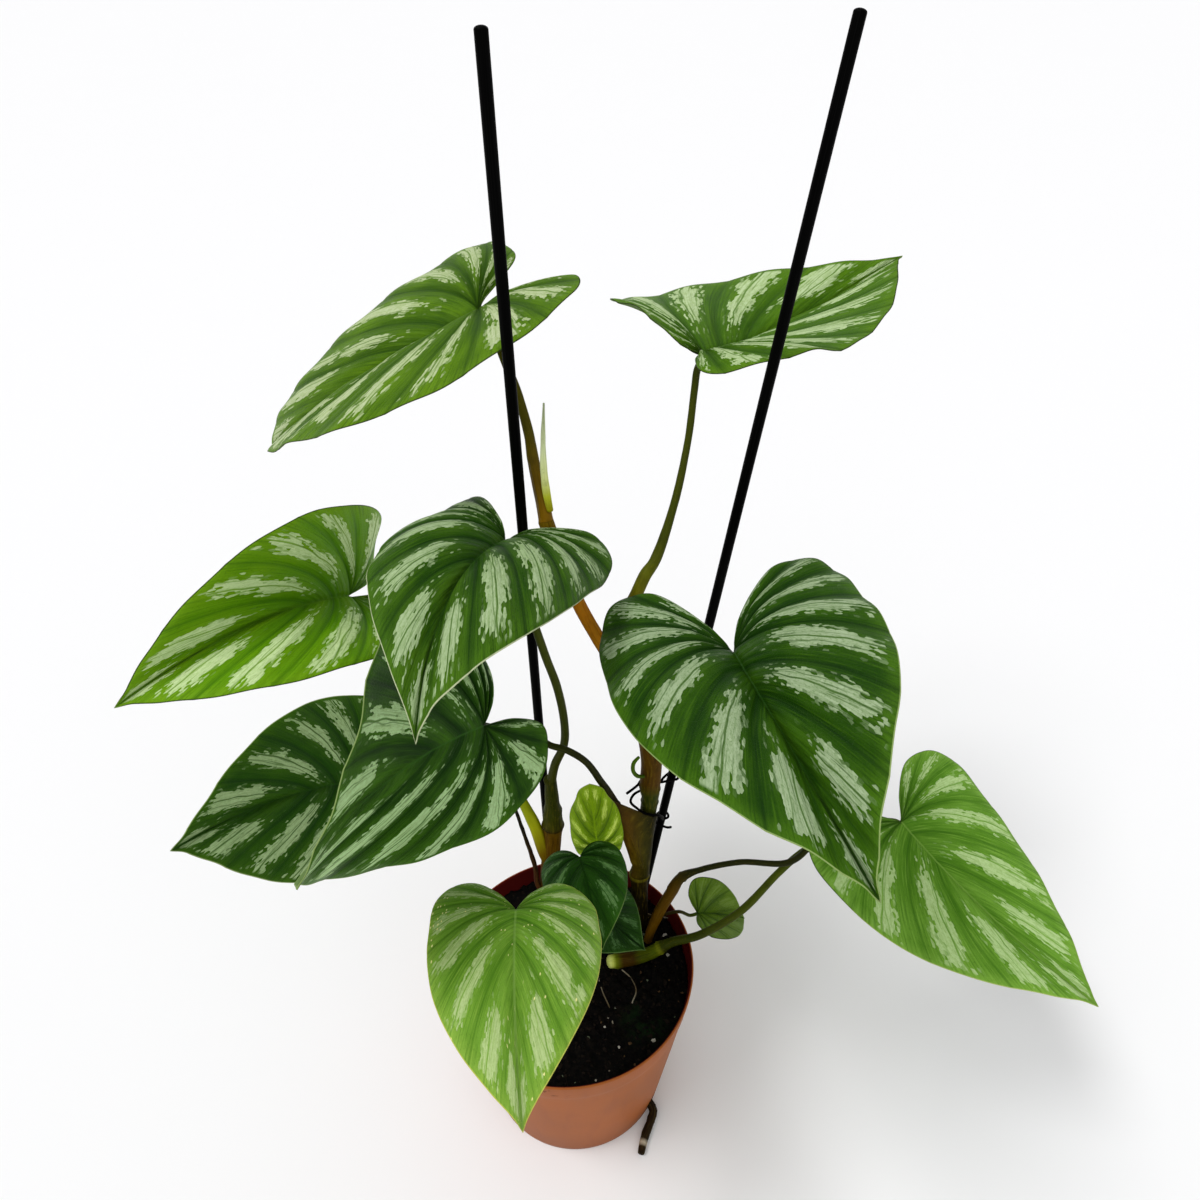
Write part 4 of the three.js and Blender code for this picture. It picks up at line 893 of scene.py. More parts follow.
# Main climbing stem, with its rings and the sheath remains above the upper tie
mainStem = {
    "route": [
        (35.5, 25.5, 64, 3.9), (35.5, 25.5, 88, 4.1), (35.4, 27.9, 116, 4.1), (35.3, 28.8, 126, 4.7),
        (36.1, 29, 134, 4.0), (38.1, 29.9, 160, 3.8), (40.2, 30.8, 180, 3.9), (40.3, 31, 188, 4.9),
        (40.8, 32, 207, 4.9), (36, 33, 231, 4.2), (27.5, 34, 255, 3.0), (20.5, 35, 269, 2.8),
        (12, 37, 288, 2.7), (5.5, 39, 308, 2.8), (0.8, 41, 325, 2.9),
    ],
    "rings": [(3, 0.5, 1.0), (5.9, 0.35, 0.8), (7, 0.3, 0.7), (10, 0.35, 1.2), (13, 0.4, 1.2)],
    "sheaths": [(7, 9)], "sides": 32, "grain": 0.16,
    "paints": [
        (0, (28, 22, 10)), (1.6, (40, 30, 10)), (2.9, (66, 52, 18)), (3.1, (128, 112, 44)),
        (3.4, (84, 74, 20)), (5, (70, 68, 14)), (6.7, (72, 78, 16)), (7.0, (96, 84, 24)),
        (7.3, (108, 74, 10)), (8.2, (116, 80, 10)), (9.4, (128, 92, 14)), (10.5, (196, 132, 30)),
        (12, (194, 124, 28)),
        (13.2, (172, 120, 26)), (14, (146, 112, 24)),
    ],
}
leftStem = {
    "route": [
        (-12, 35, 64, 4.1), (-12, 35.5, 88, 4.2), (-11.2, 36, 105, 4.4), (-8.5, 36, 130, 4.5),
        (-6.3, 36, 150, 4.4), (-5.8, 36, 157, 5.0), (-5.6, 36, 163, 4.6), (-5.4, 35.5, 176, 3.6),
        (-5.3, 35, 190, 3.0),
    ],
    "rings": [(5, 0.5, 0.9), (3.2, 0.3, 0.9), (6.4, 0.45, 1.6)], "sheaths": [(5.6, 8)],
    "sides": 32, "grain": 0.2,
    "paints": [
        (0, (40, 28, 10)), (1.5, (70, 46, 12)), (3, (120, 82, 14)), (4.8, (126, 90, 14)), (5, (72, 54, 12)),
        (5.3, (92, 84, 12)), (6.5, (82, 82, 12)), (8, (76, 76, 18)),
    ],
}
lowStem = {
    "route": [(19.5, 3, 92, 3.1), (24, 3.8, 91.4, 3.6), (32, 5, 91.4, 3.4), (40, 6.2, 93.8, 3.2),
              (46, 7.2, 97.4, 3.0)],
    "rings": [(0.9, 0.3, 0.8), (3.7, 0.45, 0.9)], "domeStart": True, "sides": 28, "grain": 0.2,
    "paints": [
        (0, (250, 240, 240)), (0.25, (236, 228, 190)), (0.5, (150, 154, 60)), (1.2, (100, 68, 16)),
        (1.9, (92, 64, 14)), (2.4, (104, 106, 24)), (3.4, (112, 118, 30)), (3.75, (152, 148, 70)),
        (4, (88, 90, 24)),
    ],
}
for node, stalk in (("stem_main", mainStem), ("stem_left", leftStem), ("stem_low", lowStem)):
    finishPiece(stalkPiece("skin_" + node, stalk, stemSkin), node)

# Petioles, each from its stem or the soil to just under its blade
petioles = {
    "top_left": {
        "route": [(0.8, 41, 325.4, 2.8), (-0.5, 43.5, 334, 2.6), (-2.4, 48, 343, 2.3),
                  (-4.4, 58, 352.5, 1.9), (-8, 67, 364, 1.7), (-13.5, 77, 376, 1.6)],
        "sheaths": [(0, 2.6)],
        "paints": [(0, (168, 122, 44)), (1.5, (150, 112, 36)), (3, (112, 96, 30)), (7, (96, 92, 28))],
    },
    "top_right": {
        "route": [(22, 35, 264, 1.8), (28, 36.5, 280, 2.4), (33.7, 39, 290, 2.5),
                  (38, 43, 297.5, 2.5), (42, 47, 301.5, 2.2), (50, 58, 320.5, 1.6), (56, 71, 342, 1.4),
                  (58.5, 79, 358, 1.4)],
        "sheaths": [(0, 4.2)],
        "paints": [(0, (150, 120, 44)), (3, (128, 122, 36)), (4.4, (96, 96, 28)), (9, (84, 84, 24))],
    },
    "left": {
        "route": [(-8.4, 35.2, 124, 2.4), (-11.4, 34.4, 140, 3.0), (-14.6, 36, 157, 2.9),
                  (-20.5, 40, 173, 2.3), (-29, 49, 190, 1.8), (-39, 55, 212, 1.6), (-46, 60, 238, 1.5),
                  (-56, 63, 262, 1.5), (-68, 60, 277, 1.5)],
        "sheaths": [(0.5, 3)],
        "paints": [(0, (104, 74, 22)), (1, (150, 116, 30)), (2, (196, 184, 44)), (3, (170, 170, 40)),
                   (5, (96, 110, 36)), (10, (90, 112, 36))],
    },
    "centre": {
        "route": [(-5.3, 35, 186, 2.2), (-2.4, 34, 200.7, 2.0), (2.4, 32.4, 215.4, 1.8),
                  (3.2, 31, 231.6, 1.75), (1.3, 30, 251.6, 1.75), (-2.5, 29, 270, 1.7),
                  (-6.5, 29, 290, 1.6), (-11, 30, 310, 1.5)],
        "paints": [(0, (84, 82, 28)), (3, (78, 80, 28)), (5, (92, 92, 36)), (9, (80, 96, 40))],
    },
    "big_right": {
        "route": [(38.6, 16, 74, 2.2), (39, 17, 88, 2.4), (44, 20.5, 104, 3.0), (51, 23.5, 119, 3.0),
                  (55.5, 24, 129, 2.4), (64, 22, 137.4, 1.45), (82, 18, 148, 1.35), (104, 14, 152.4, 1.5),
                  (114, 16, 166, 1.5), (119, 22, 195, 1.5), (112, 24, 235, 1.5), (94, 17, 265, 1.5),
                  (76, 6, 282, 1.5)],
        "sheaths": [(0.5, 4.2)], "rings": [(4.1, 0.35, 0.8)],
        "paints": [(0, (110, 76, 14)), (1.5, (138, 96, 18)), (3, (120, 84, 16)), (4.2, (82, 66, 14)),
                   (4.6, (58, 56, 16)), (14, (64, 68, 22))],
    },
    "far_right": {
        "route": [(46.2, 7.3, 97.6, 2.7), (51, 7.6, 100.6, 2.3), (63, 7.4, 105.4, 2.1),
                  (83, 11.4, 118, 1.9), (101, 18, 139, 1.7), (112, 23, 147, 1.7),
                  (130, 30, 152, 1.6), (148, 33, 155, 1.6)],
        "sheaths": [(0.3, 3)],
        "paints": [(0, (84, 86, 26)), (2, (80, 84, 22)), (4, (100, 104, 26)), (9, (100, 110, 34))],
    },
    "front": {
        "route": [(-6, 14, 70, 1.6), (-6.5, 13, 88, 1.6), (-9, 2, 125, 1.5), (-12, -20, 170, 1.4),
                  (-14, -42, 203, 1.3)],
        "paints": [(0, (90, 84, 34)), (6, (116, 140, 56))],
    },
    "low_left_front": {
        "route": [(36.2, 29.2, 130, 2.6), (34.7, 27.6, 141, 3.6), (32.4, 27.2, 155.5, 4.1),
                  (29, 27, 167, 3.6), (25, 26, 179, 2.5), (21.8, 25, 190, 1.9), (17.6, 24, 201, 1.6),
                  (11.6, 22.5, 215, 1.5), (3.6, 22, 223, 1.5), (-3, 23, 225, 1.4), (-9, 26, 227.5, 1.4),
                  (-17, 25, 231.5, 1.4), (-24, 20, 239, 1.4)],
        "sheaths": [(0.4, 4.6)], "rings": [(4.3, 0.3, 0.9)], "sides": 28,
        "paints": [(0, (100, 74, 16)), (1.5, (112, 76, 16)), (3.2, (96, 70, 16)), (4.4, (66, 52, 16)),
                   (6, (54, 52, 18)), (9, (66, 68, 26)), (14, (62, 74, 26))],
    },
    "low_left_back": {
        "route": [(-21, 40.6, 172, 1.5), (-30, 48, 174, 1.5), (-48, 57, 173, 1.5),
                  (-72, 60, 170, 1.5), (-90, 54, 172, 1.5)],
        "paints": [(0, (84, 88, 30)), (6, (84, 104, 38))],
    },
    "small_dark": {
        "route": [(1, 10, 72, 1.2), (1, 9.5, 88, 1.2), (1.6, 6, 115, 1.1), (4.5, 2, 145, 1.0),
                  (7, -1, 166, 1.0)],
        "paints": [(0, (84, 76, 30)), (6, (78, 110, 40))],
    },
    "small_bright": {
        "route": [(16, 36, 72, 1.2), (16, 36, 88, 1.2), (16, 34, 115, 1.1), (16, 22, 145, 1.0),
                  (15.6, 17, 160, 1.0)],
        "paints": [(0, (84, 76, 30)), (6, (150, 176, 60))],
    },
    "small_round": {
        "route": [(37, 26, 93, 0.9), (46, 24.5, 97.4, 0.9), (55, 24, 100.8, 0.85)],
        "paints": [(0, (64, 48, 30)), (2, (78, 62, 40)), (4, (96, 112, 56))],
    },
    "small_corner": {
        "route": [(14.5, 21, 74, 1.1), (14.5, 21, 88, 1.1), (15.2, 20, 102, 1.0)],
        "paints": [(0, (84, 76, 30)), (4, (70, 104, 40))],
    },
}


joint = {"gap": 0.1, "normal": 0.8, "along": 0.6, "neck": 4}


# The route with its last points just under the blade, at the sinus
def petioleRoute(name):
    leaf, route = leaves[name], petioles[name]["route"]
    radius = route[-1][3]
    spot = (np.array([0.0]), np.array([radius]))
    sinus, normal = placeOnBlade(leaf, 1, *spot)[0], bladeNormal(leaf, 1, *spot)[0]
    heading = unit(normal * joint["normal"] + leafAxes(leaf)[1] * joint["along"])
    lean = math.sqrt(max(0, 1 - float(heading @ normal) ** 2))
    end = sinus - normal * (bladeSheet["seatThick"] / 2 + joint["gap"] + radius * lean)
    neck = end - heading * joint["neck"] * radius
    return [*route, (*neck, radius), (*end, radius)]


for name, stalk in petioles.items():
    finishPiece(stalkPiece("stalk_" + name, stalk, petioleSkin, petioleRoute(name)), "petiole_" + name)
print("stems and petioles made:", 3 + len(petioles))

# Open sheath of the low left leaf's petiole: it hugs the front of the main stem. Its upper edge
# has a height at each x, and its columns crowd where it spans from the stem to the petiole.
sheath = {
    "foot": 128.5, "edgeAt": (19, 22, 28.6, 35, 41), "edgeHeight": (191, 190, 184, 178, 172.5),
    "angleShares": (0, 0.2, 0.8, 1), "angles": (205, 272, 294, 338), "routePoints": 7, "rounds": 8,
    "gap": 0.3, "thick": 0.45, "flare": 0.4, "flarePower": 8, "ripple": 0.12, "ripples": 31,
    # dark and lit paint light on the sheath: painted shade at the foot and the top edge, painted highlight
    # half way up
    "blend": 3.0, "columns": 90, "rows": 36, "from": 20, "to": 42, "dark": 0.72, "lit": 0.4,
    "paints": [(0, (50, 36, 8)), (0.2, (92, 64, 12)), (0.42, (114, 80, 16)), (0.6, (106, 82, 16)),
               (0.8, (84, 74, 12)), (1, (52, 46, 10))],
}


def sheathPiece(material):
    routes = (mainStem["route"], petioles["low_left_front"]["route"][:sheath["routePoints"]])
    paths = [smoothPath(route, 1.0)[0] for route in routes]
    u = np.linspace(0, 1, sheath["columns"])[None, :]
    h = np.linspace(0, 1, sheath["rows"])[:, None]
    angle = np.radians(np.interp(u, sheath["angleShares"], sheath["angles"])) + 0 * h
    heading = np.stack([np.cos(angle), np.sin(angle), 0 * angle], axis=-1)
    top = np.full(u.shape, sheath["edgeHeight"][2])
    # The upper edge slants with its place, so it settles in a few rounds
    for repeat in range(sheath["rounds"]):
        z = sheath["foot"] + (top - sheath["foot"]) * h
        spots, reaches = [], []
        for path in paths:
            ring = [np.interp(z, path[:, 2], path[:, i]) for i in (0, 1, 3)]
            reaches.append(heading[..., 0] * ring[0] + heading[..., 1] * ring[1] + ring[2])
            spots.append(np.stack([ring[0], ring[1], z], axis=-1) + heading * ring[2][..., None])
        onStem = np.clip((reaches[0] - reaches[1]) / sheath["blend"] + 0.5, 0, 1)
        onStem = (onStem * onStem * (3 - 2 * onStem))[..., None]
        inner = spots[0] * onStem + spots[1] * (1 - onStem)
        top = (top + np.interp(inner[-1:, :, 0], sheath["edgeAt"], sheath["edgeHeight"])) / 2
    lift = sheath["gap"] + sheath["flare"] * h ** sheath["flarePower"]
    lift = lift + sheath["ripple"] * np.sin(u * sheath["ripples"]) * (1 - h)
    inner = inner + heading * lift[..., None]
    outer = inner + heading * sheath["thick"]
    ids, (a, b, c, d) = gridCorners(sheath["rows"], sheath["columns"])
    border = np.concatenate([ids[0, :], ids[1:, -1], ids[-1, -2::-1], ids[-2::-1, 0]])
    here, after, size = border[:-1], border[1:], ids.size
    faces = facesOf((a, b, c, d), (a + size, d + size, c + size, b + size),
                    (here, here + size, after + size, after))
    points = np.concatenate([outer.reshape(-1, 3), inner.reshape(-1, 3)])
    made = meshObject("stem_sheath", points, faces, material)
    across = (inner[..., 0] - sheath["from"]) / (sheath["to"] - sheath["from"])
    tints = tintsAt(across.ravel(), sheath["paints"], oliveShade)
    # Scaled from dark at the foot and the top edge to dark + lit half way up: painted shade and highlight
    tints[:, :3] *= (sheath["dark"] + sheath["lit"] * np.sin(np.pi * (h + 0 * u))).reshape(-1, 1)
    markTint(made.data, np.tile(tints, (2, 1)))
    mark(made.data, "around", np.tile((u + 0 * h).ravel() * 0.4, 2))
    mark(made.data, "along", np.tile(z.ravel(), 2))
    return made


finishPiece(sheathPiece(stemSkin), None)

# Rolled new leaf, curled bract, and the two roots that leave the stem and the pot
newLeaf = {
    "route": [(2.6, 40.4, 330, 1.3), (1.8, 40.2, 338, 1.5), (1.4, 40.6, 347, 1.3), (1.8, 41.8, 358, 0.85),
              (2.8, 43, 371, 0.35)],
    "sheaths": [(0, 4)], "seam": 0.5, "pitch": 0.8, "domeStart": True, "shade": plainShade,
    "paints": [(0, (176, 170, 30)), (0.8, (222, 226, 84)), (1.6, (240, 246, 178)), (2.6, (232, 240, 196)),
               (4, (180, 190, 158))],
}
curledBract = {
    "route": [(37.2, 27.8, 198.5, 0.8), (34.4, 27, 199.5, 0.9), (32.4, 26.8, 203, 0.9),
              (32.6, 27, 208, 0.9), (34.8, 27.6, 211, 0.7)],
    "paints": [(0, (84, 104, 34)), (4, (104, 128, 44))],
}
rootDrain = {
    "route": [(35.5, -23, 6, 2.0), (38.2, -26, 5.2, 2.1), (39.8, -29.6, 4.2, 2.2), (38.2, -34, 3.2, 2.2),
              (36, -38.6, 2.8, 2.2), (34, -43.6, 2.6, 2.1), (32.4, -49, 2.4, 1.7)],
    "grain": 0.45, "grainSize": 420.0, "shade": plainShade,
    "paints": [(0, (52, 36, 22)), (4.8, (58, 42, 26)), (5.2, (206, 196, 176)), (5.5, (66, 48, 30)),
               (6, (48, 36, 24))],
}
rootLeft = {
    "route": [(-10.5, 31.6, 104, 1.3), (-15.5, 33.5, 112, 1.3), (-16.5, 35.5, 126, 1.2),
              (-20.5, 37.5, 150, 0.9), (-23.5, 38, 169, 0.8), (-25.5, 38.5, 179, 0.6)],
    "grain": 0.3, "grainSize": 420.0, "shade": plainShade,
    "paints": [(0, (112, 70, 40)), (1.5, (92, 58, 34)), (3, (48, 42, 36)), (5, (40, 40, 38))],
}
finishPiece(stalkPiece("rolled_leaf", newLeaf, petioleSkin), "new_leaf")
finishPiece(stalkPiece("curled_bract", curledBract, petioleSkin), "bract")
finishPiece(stalkPiece("drain_root", rootDrain, rootSkin), "root_drain")
finishPiece(stalkPiece("air_root", rootLeft, rootSkin), "root_left")
print("new leaf, bract and roots made")

# Two straight coated stakes, and the wire tie round the right one
stakes = {
    "left": {"foot": (-9.6, 43.9, 88), "head": (-6.9, 38, 482)},
    "right": {"foot": (36, 36.5, 88), "head": (97.5, 54.9, 480)},
}
stake = {"radius": 2.0, "bottom": 32, "top": 481, "tip": 0.9, "pitch": 6.0, "domeStart": True,
         "grain": 0.03, "sides": 32, "paints": [(0, (20, 20, 21)), (1, (20, 20, 21))]}
tie = {
    "radius": 0.6,
    "points": [
        (29.4, 25.2, 190.4), (31.6, 27.4, 190), (34.6, 31.3, 188.8), (36.6, 35.2, 187.6),
        (40.5, 36.6, 186.6), (44.5, 35.6, 185.4), (50.5, 37.9, 184), (53.4, 39, 183.4),
        (53.8, 42, 182.8), (50.8, 44.1, 182.2), (48, 42.5, 181.6), (44.5, 38.5, 181),
        (40.4, 36.2, 181), (36.2, 34.4, 181.4), (32.6, 31.2, 182.2),
        (31.2, 27.2, 182), (34, 25.9, 179.2), (37, 25.2, 176.8), (40.4, 25.4, 175), (43.8, 26.9, 172.6),
        (46.2, 31.2, 166), (47, 36.6, 158), (49.6, 38.2, 157.2), (49.1, 41.7, 156.4), (45.5, 42.6, 155.6),
        (43.3, 39.6, 154.8), (44.7, 36.9, 153.8), (47, 36.5, 152.8), (49.4, 36.2, 152), (51, 37.2, 151),
    ],
    "domeStart": True, "grain": 0.06, "grainSize": 600.0, "sides": 14,
    "paints": [(0, (12, 12, 12)), (29, (12, 12, 12))],
}
coatTones = {"base": (1, 1, 1), "lines": (7, 7, 7), "rubs": (40, 40, 39)}


# Black plastic coating with fine lengthwise drawing marks and pale rubs
def coatingLook(name, rough):
    look, tones = Look(name), painted(coatTones)
    around = look.roundAbout(look.attribute("around"), 9, look.attribute("along") * 0.02)
    lines = look.noise(around, 1.0, 3.0)
    rubs = look.noise(look.place(), 75.0, 4.0)
    colour = look.layers(tones["base"], (look.step(lines, 0.4, 0.75), tones["lines"]),
                         (look.step(rubs, 0.68, 0.8) * 0.25, tones["rubs"]))
    return look.surface((lines, 0.0001, 0.6), colour=colour, rough=rough + rubs * 0.2, specular=0.02)


stakeCoat = coatingLook("stake_coat", 0.34)
for name, line in stakes.items():
    foot, head = (np.array(line[key], dtype=float) for key in ("foot", "head"))
    low, high = (foot + (head - foot) * (z - foot[2]) / (head[2] - foot[2])
                 for z in (stake["bottom"], stake["top"]))
    high = high - unit(head - foot) * stake["tip"]
    rod = [(*low, stake["radius"]), (*high, stake["radius"])]
    finishPiece(stalkPiece("rod_" + name, stake, stakeCoat, rod), "stake_" + name)
tieRoute = [(*point, tie["radius"]) for point in tie["points"]]
finishPiece(stalkPiece("wire_tie", tie, coatingLook("tie_coat", 0.42), tieRoute), "tie_right")
print("stakes and tie made")

# Thin plastic nursery pot; outerFoot, lip and innerFoot are steps in from the wall, and heights
pot = {
    "rim": 60, "base": 45.5, "height": 98, "wall": 1.2, "floor": 1.6, "sides": 160,
    "band": 15, "bandRise": 0.3, "bulge": 0.22, "holes": 5, "holeRadius": 4, "holeCircle": 28,
    "holeTurn": 0.25, "holeFrom": -2, "holeTo": 3.4, "holeSides": 40,
    "rootHoleRadius": 3.4, "rootHoleLength": 14,
    "heights": (0.8, 4, 12, 24, 38, 52, 66, 78, 82, 83.5, 85, 86.5, 90, 94, 96.6, 97.4),
    "outerFoot": ((3.2, 0), (0.8, 0.1), (0.2, 0.35)), "innerFoot": ((1.0, 4), (3.4, 1.9), (6, 1.6)),
    "lip": ((0.2, 97.85), (0.6, 98), (1.0, 97.85), (1.2, 97.4)),
}
# inner is painted shade: the inside of the wall is the same plastic, painted a much darker red
potTones = {"low": (150, 82, 32), "high": (162, 90, 39), "drawn": (138, 74, 42), "foot": (134, 78, 44),
            "dirt": (74, 46, 30), "splash": (110, 66, 44), "inner": (84, 17, 14)}


def potFlare(z):
    return pot["base"] + (pot["rim"] - pot["base"]) * z / pot["height"]


def potRadius(z):
    low = pot["height"] - pot["band"]
    band = pot["bandRise"] * np.clip((z - low) / 3, 0, 1) * np.clip((pot["height"] + 1 - z) / 4, 0.3, 1)
    return float(potFlare(z) + band)


def turnsOf(sides):
    return [math.tau * k / sides for k in range(sides)]


def potPiece(material):
    heights, base = pot["heights"], pot["base"]
    edge = potRadius(heights[-1])
    profile = [(base - step, z) for step, z in pot["outerFoot"]] + [(potRadius(z), z) for z in heights]
    profile += [(edge - step, z) for step, z in pot["lip"]]
    profile += [(potRadius(z) - pot["wall"], z) for z in reversed(heights[2:-1])]
    profile += [(base - step, z) for step, z in pot["innerFoot"]]
    rings = [[(0, 0, 0)]]
    for radius, z in profile:
        ring = []
        for angle in turnsOf(pot["sides"]):
            # Thin plastic is never quite round
            uneven = math.sin(2 * angle + 0.6) + 0.5 * math.sin(5 * angle)
            reach = radius + pot["bulge"] * (z / pot["height"]) ** 2 * uneven
            ring.append((reach * math.cos(angle), reach * math.sin(angle), z))
        rings.append(ring)
    return ringBody("nursery_pot", [*rings, [(0, 0, pot["floor"])]], pot["sides"], material)


# rods: start, end and radius of each hole
def cutHoles(piece, rods):
    for k, (start, end, radius) in enumerate(rods):
        axis, middle = Vector(end) - Vector(start), (Vector(start) + Vector(end)) / 2
        bpy.ops.mesh.primitive_cylinder_add(vertices=pot["holeSides"], radius=radius * mm,
                                            depth=axis.length * mm)
        cutter = bpy.context.object
        turn = axis.to_track_quat("Z", "Y").to_matrix().to_4x4()
        cutter.matrix_world = Matrix.Translation(middle * mm) @ turn
        cut = piece.modifiers.new("hole" + str(k), "BOOLEAN")
        cut.operation = "DIFFERENCE"
        cut.object = cutter
        settle(piece)
        bpy.data.objects.remove(cutter)


def potLook():
    look, tones = Look("pot_plastic"), painted(potTones)
    place, step = look.place(), look.step
    x, y, z = look.split(place)
    facing = look.split(look.wire("ShaderNodeNewGeometry", None, None, "Normal"))
    inner = (x * facing[0] + y * facing[1]) / look.math("SQRT", x * x + y * y)
    rise = z / (pot["height"] * mm)
    cloud = look.noise(place, 26.0, 3.0)
    drawn = look.noise(look.vectorMath("MULTIPLY", place, (1.0, 1.0, 0.12)), 190.0, 2.0)
    # Dried soil under the rim and a few splashes lower down
    crumbs, patches = look.noise(place, 420.0, 3.0), look.noise(place, 38.0, 2.0)
    dirt = step(crumbs, 0.56, 0.66) * step(patches, 0.52, 0.62) * step(rise, 0.86, 0.93)
    splash = step(crumbs, 0.66, 0.7) * step(patches, 0.6, 0.68) * 0.5
    colour = look.layers(
        tones["low"],
        (step(cloud, 0.3, 0.7), tones["high"]),
        (step(drawn, 0.45, 0.75) * 0.25, tones["drawn"]),
        (step(rise, 0.35, 0.0) * 0.35, tones["foot"]),
        (dirt * 0.75, tones["dirt"]),
        (splash, tones["splash"]),
        # Faces turned inwards get the inner tone: painted shade inside the pot
        (step(inner, 0.0, -0.2), tones["inner"]),
    )
    return look.surface((drawn * 0.4 + crumbs * 0.2, 0.0001, 0.6),
                        colour=colour, rough=0.42 + cloud * 0.12 + dirt * 0.2, specular=0.1)


holes = []
for k in range(pot["holes"]):
    angle = math.tau * (k + pot["holeTurn"]) / pot["holes"]
    spot = (pot["holeCircle"] * math.cos(angle), pot["holeCircle"] * math.sin(angle))
    holes.append(((*spot, pot["holeFrom"]), (*spot, pot["holeTo"]), pot["holeRadius"]))
inner, through, outer = (np.array(point[:3], dtype=float) for point in rootDrain["route"][:3])
heading = unit(outer - inner) * pot["rootHoleLength"] / 2
holes.append((tuple(through - heading), tuple(through + heading), pot["rootHoleRadius"]))
nurseryPot = potPiece(potLook())
cutHoles(nurseryPot, holes)
finishPiece(nurseryPot, "pot")
print("pot made:", len(nurseryPot.data.polygons), "faces")

# Potting mix: a lumpy body that fills the pot, with loose chips, fibres and thin roots on it
soil = {"top": 88, "bottom": 2, "gap": 1.6, "rings": 64, "sides": 200, "wave": 0.9, "lump": 1.7,
        "crumb": 0.6, "corner": 2.4, "shoulder": 4, "inset": 4}
soilTones = {"dark": (2, 2, 2), "crumbs": (16, 12, 9), "dry": (34, 26, 19), "algae": (16, 38, 12)}
algae = {"x": 0.036, "y": -0.026, "reach": 0.016, "full": 0.004}
bitTones = {"dark": (4, 3, 3), "bark": (26, 18, 12), "coir": (84, 62, 40), "grit": (190, 184, 172),
            "moss": (44, 70, 24), "crumbs": (8, 6, 5)}


def soilHeight(x, y):
    wave = math.sin(x * 0.31 + 1.3) * math.cos(y * 0.27 - 0.4) + math.sin(x * 0.83 + y * 0.71)
    lump = noise.fractal(Vector((x * 0.11, y * 0.11, 4.2)), 0.7, 2.1, 4)
    crumb = noise.cell(Vector((x * 0.9, y * 0.9, 1.0))) + noise.noise(Vector((x * 0.6, y * 0.6, 2.0)))
    return soil["top"] + soil["wave"] * wave / 2 + soil["lump"] * lump + soil["crumb"] * crumb


def soilPiece(material):
    top, bottom, sides = soil["top"], soil["bottom"], soil["sides"]
    reach = potRadius(top) - soil["gap"]
    radii = [reach * j / soil["rings"] for j in range(1, soil["rings"] + 1)]
    turns = turnsOf(sides)
    flat = [[(radius * math.cos(angle), radius * math.sin(angle)) for angle in turns] for radius in radii]
    rings = [[(x, y, soilHeight(x, y)) for x, y in ring] for ring in ([(0, 0)], *flat)]
    walls = [(potFlare(z) - soil["gap"], z) for z in (top - soil["shoulder"], bottom + soil["corner"])]
    for radius, z in (*walls, (pot["base"] - soil["inset"], bottom)):
        rings.append([(radius * math.cos(angle), radius * math.sin(angle), z) for angle in turns])
    return ringBody("potting_mix", [*rings, [(0, 0, bottom)]], sides, material, turned=True)


def soilLook():
    look, tones = Look("soil_mix"), painted(soilTones)
    place, step = look.place(), look.step
    x, y, z = look.split(place)
    cloud, crumbs = look.noise(place, 70.0, 4.0), look.noise(place, 420.0, 4.0, 0.6)
    x, y = x - algae["x"], y - algae["y"]
    green = step(look.math("SQRT", x * x + y * y), algae["reach"], algae["full"])
    colour = look.layers(
        tones["dark"],
        (step(crumbs, 0.35, 0.7), tones["crumbs"]),
        (step(cloud, 0.6, 0.75) * 0.5, tones["dry"]),
        (green * step(cloud, 0.42, 0.6) * 0.6, tones["algae"]),
    )
    return look.surface((crumbs + cloud, 0.0008, 0.8),
                        colour=colour, rough=0.72 + crumbs * 0.2, specular=0.06)


# Loose bits: chips of bark and coir, light grit and a little green, tinted by a drawn number
def bitsLook():
    look, tones = Look("soil_bits"), painted(bitTones)
    pick, step = look.attribute("pick"), look.step
    crumbs = look.noise(look.place(), 600.0, 3.0)
    colour = look.layers(
        tones["dark"],
        (step(pick, 0.1, 0.9), tones["bark"]),
        (step(pick, 0.95, 0.953) * 0.9, tones["coir"]),
        (step(pick, 0.982, 0.984), tones["grit"]),
        (step(pick, 0.99, 0.992) * 0.8, tones["moss"]),
        (step(crumbs, 0.45, 0.75) * 0.5, tones["crumbs"]),
    )
    return look.surface((crumbs, 0.0003, 0.8), colour=colour, rough=0.6 + crumbs * 0.3, specular=0.08)


leastUpward = 0.4  # faces of the soil that point up more than this carry loose bits
pickSeed = 77


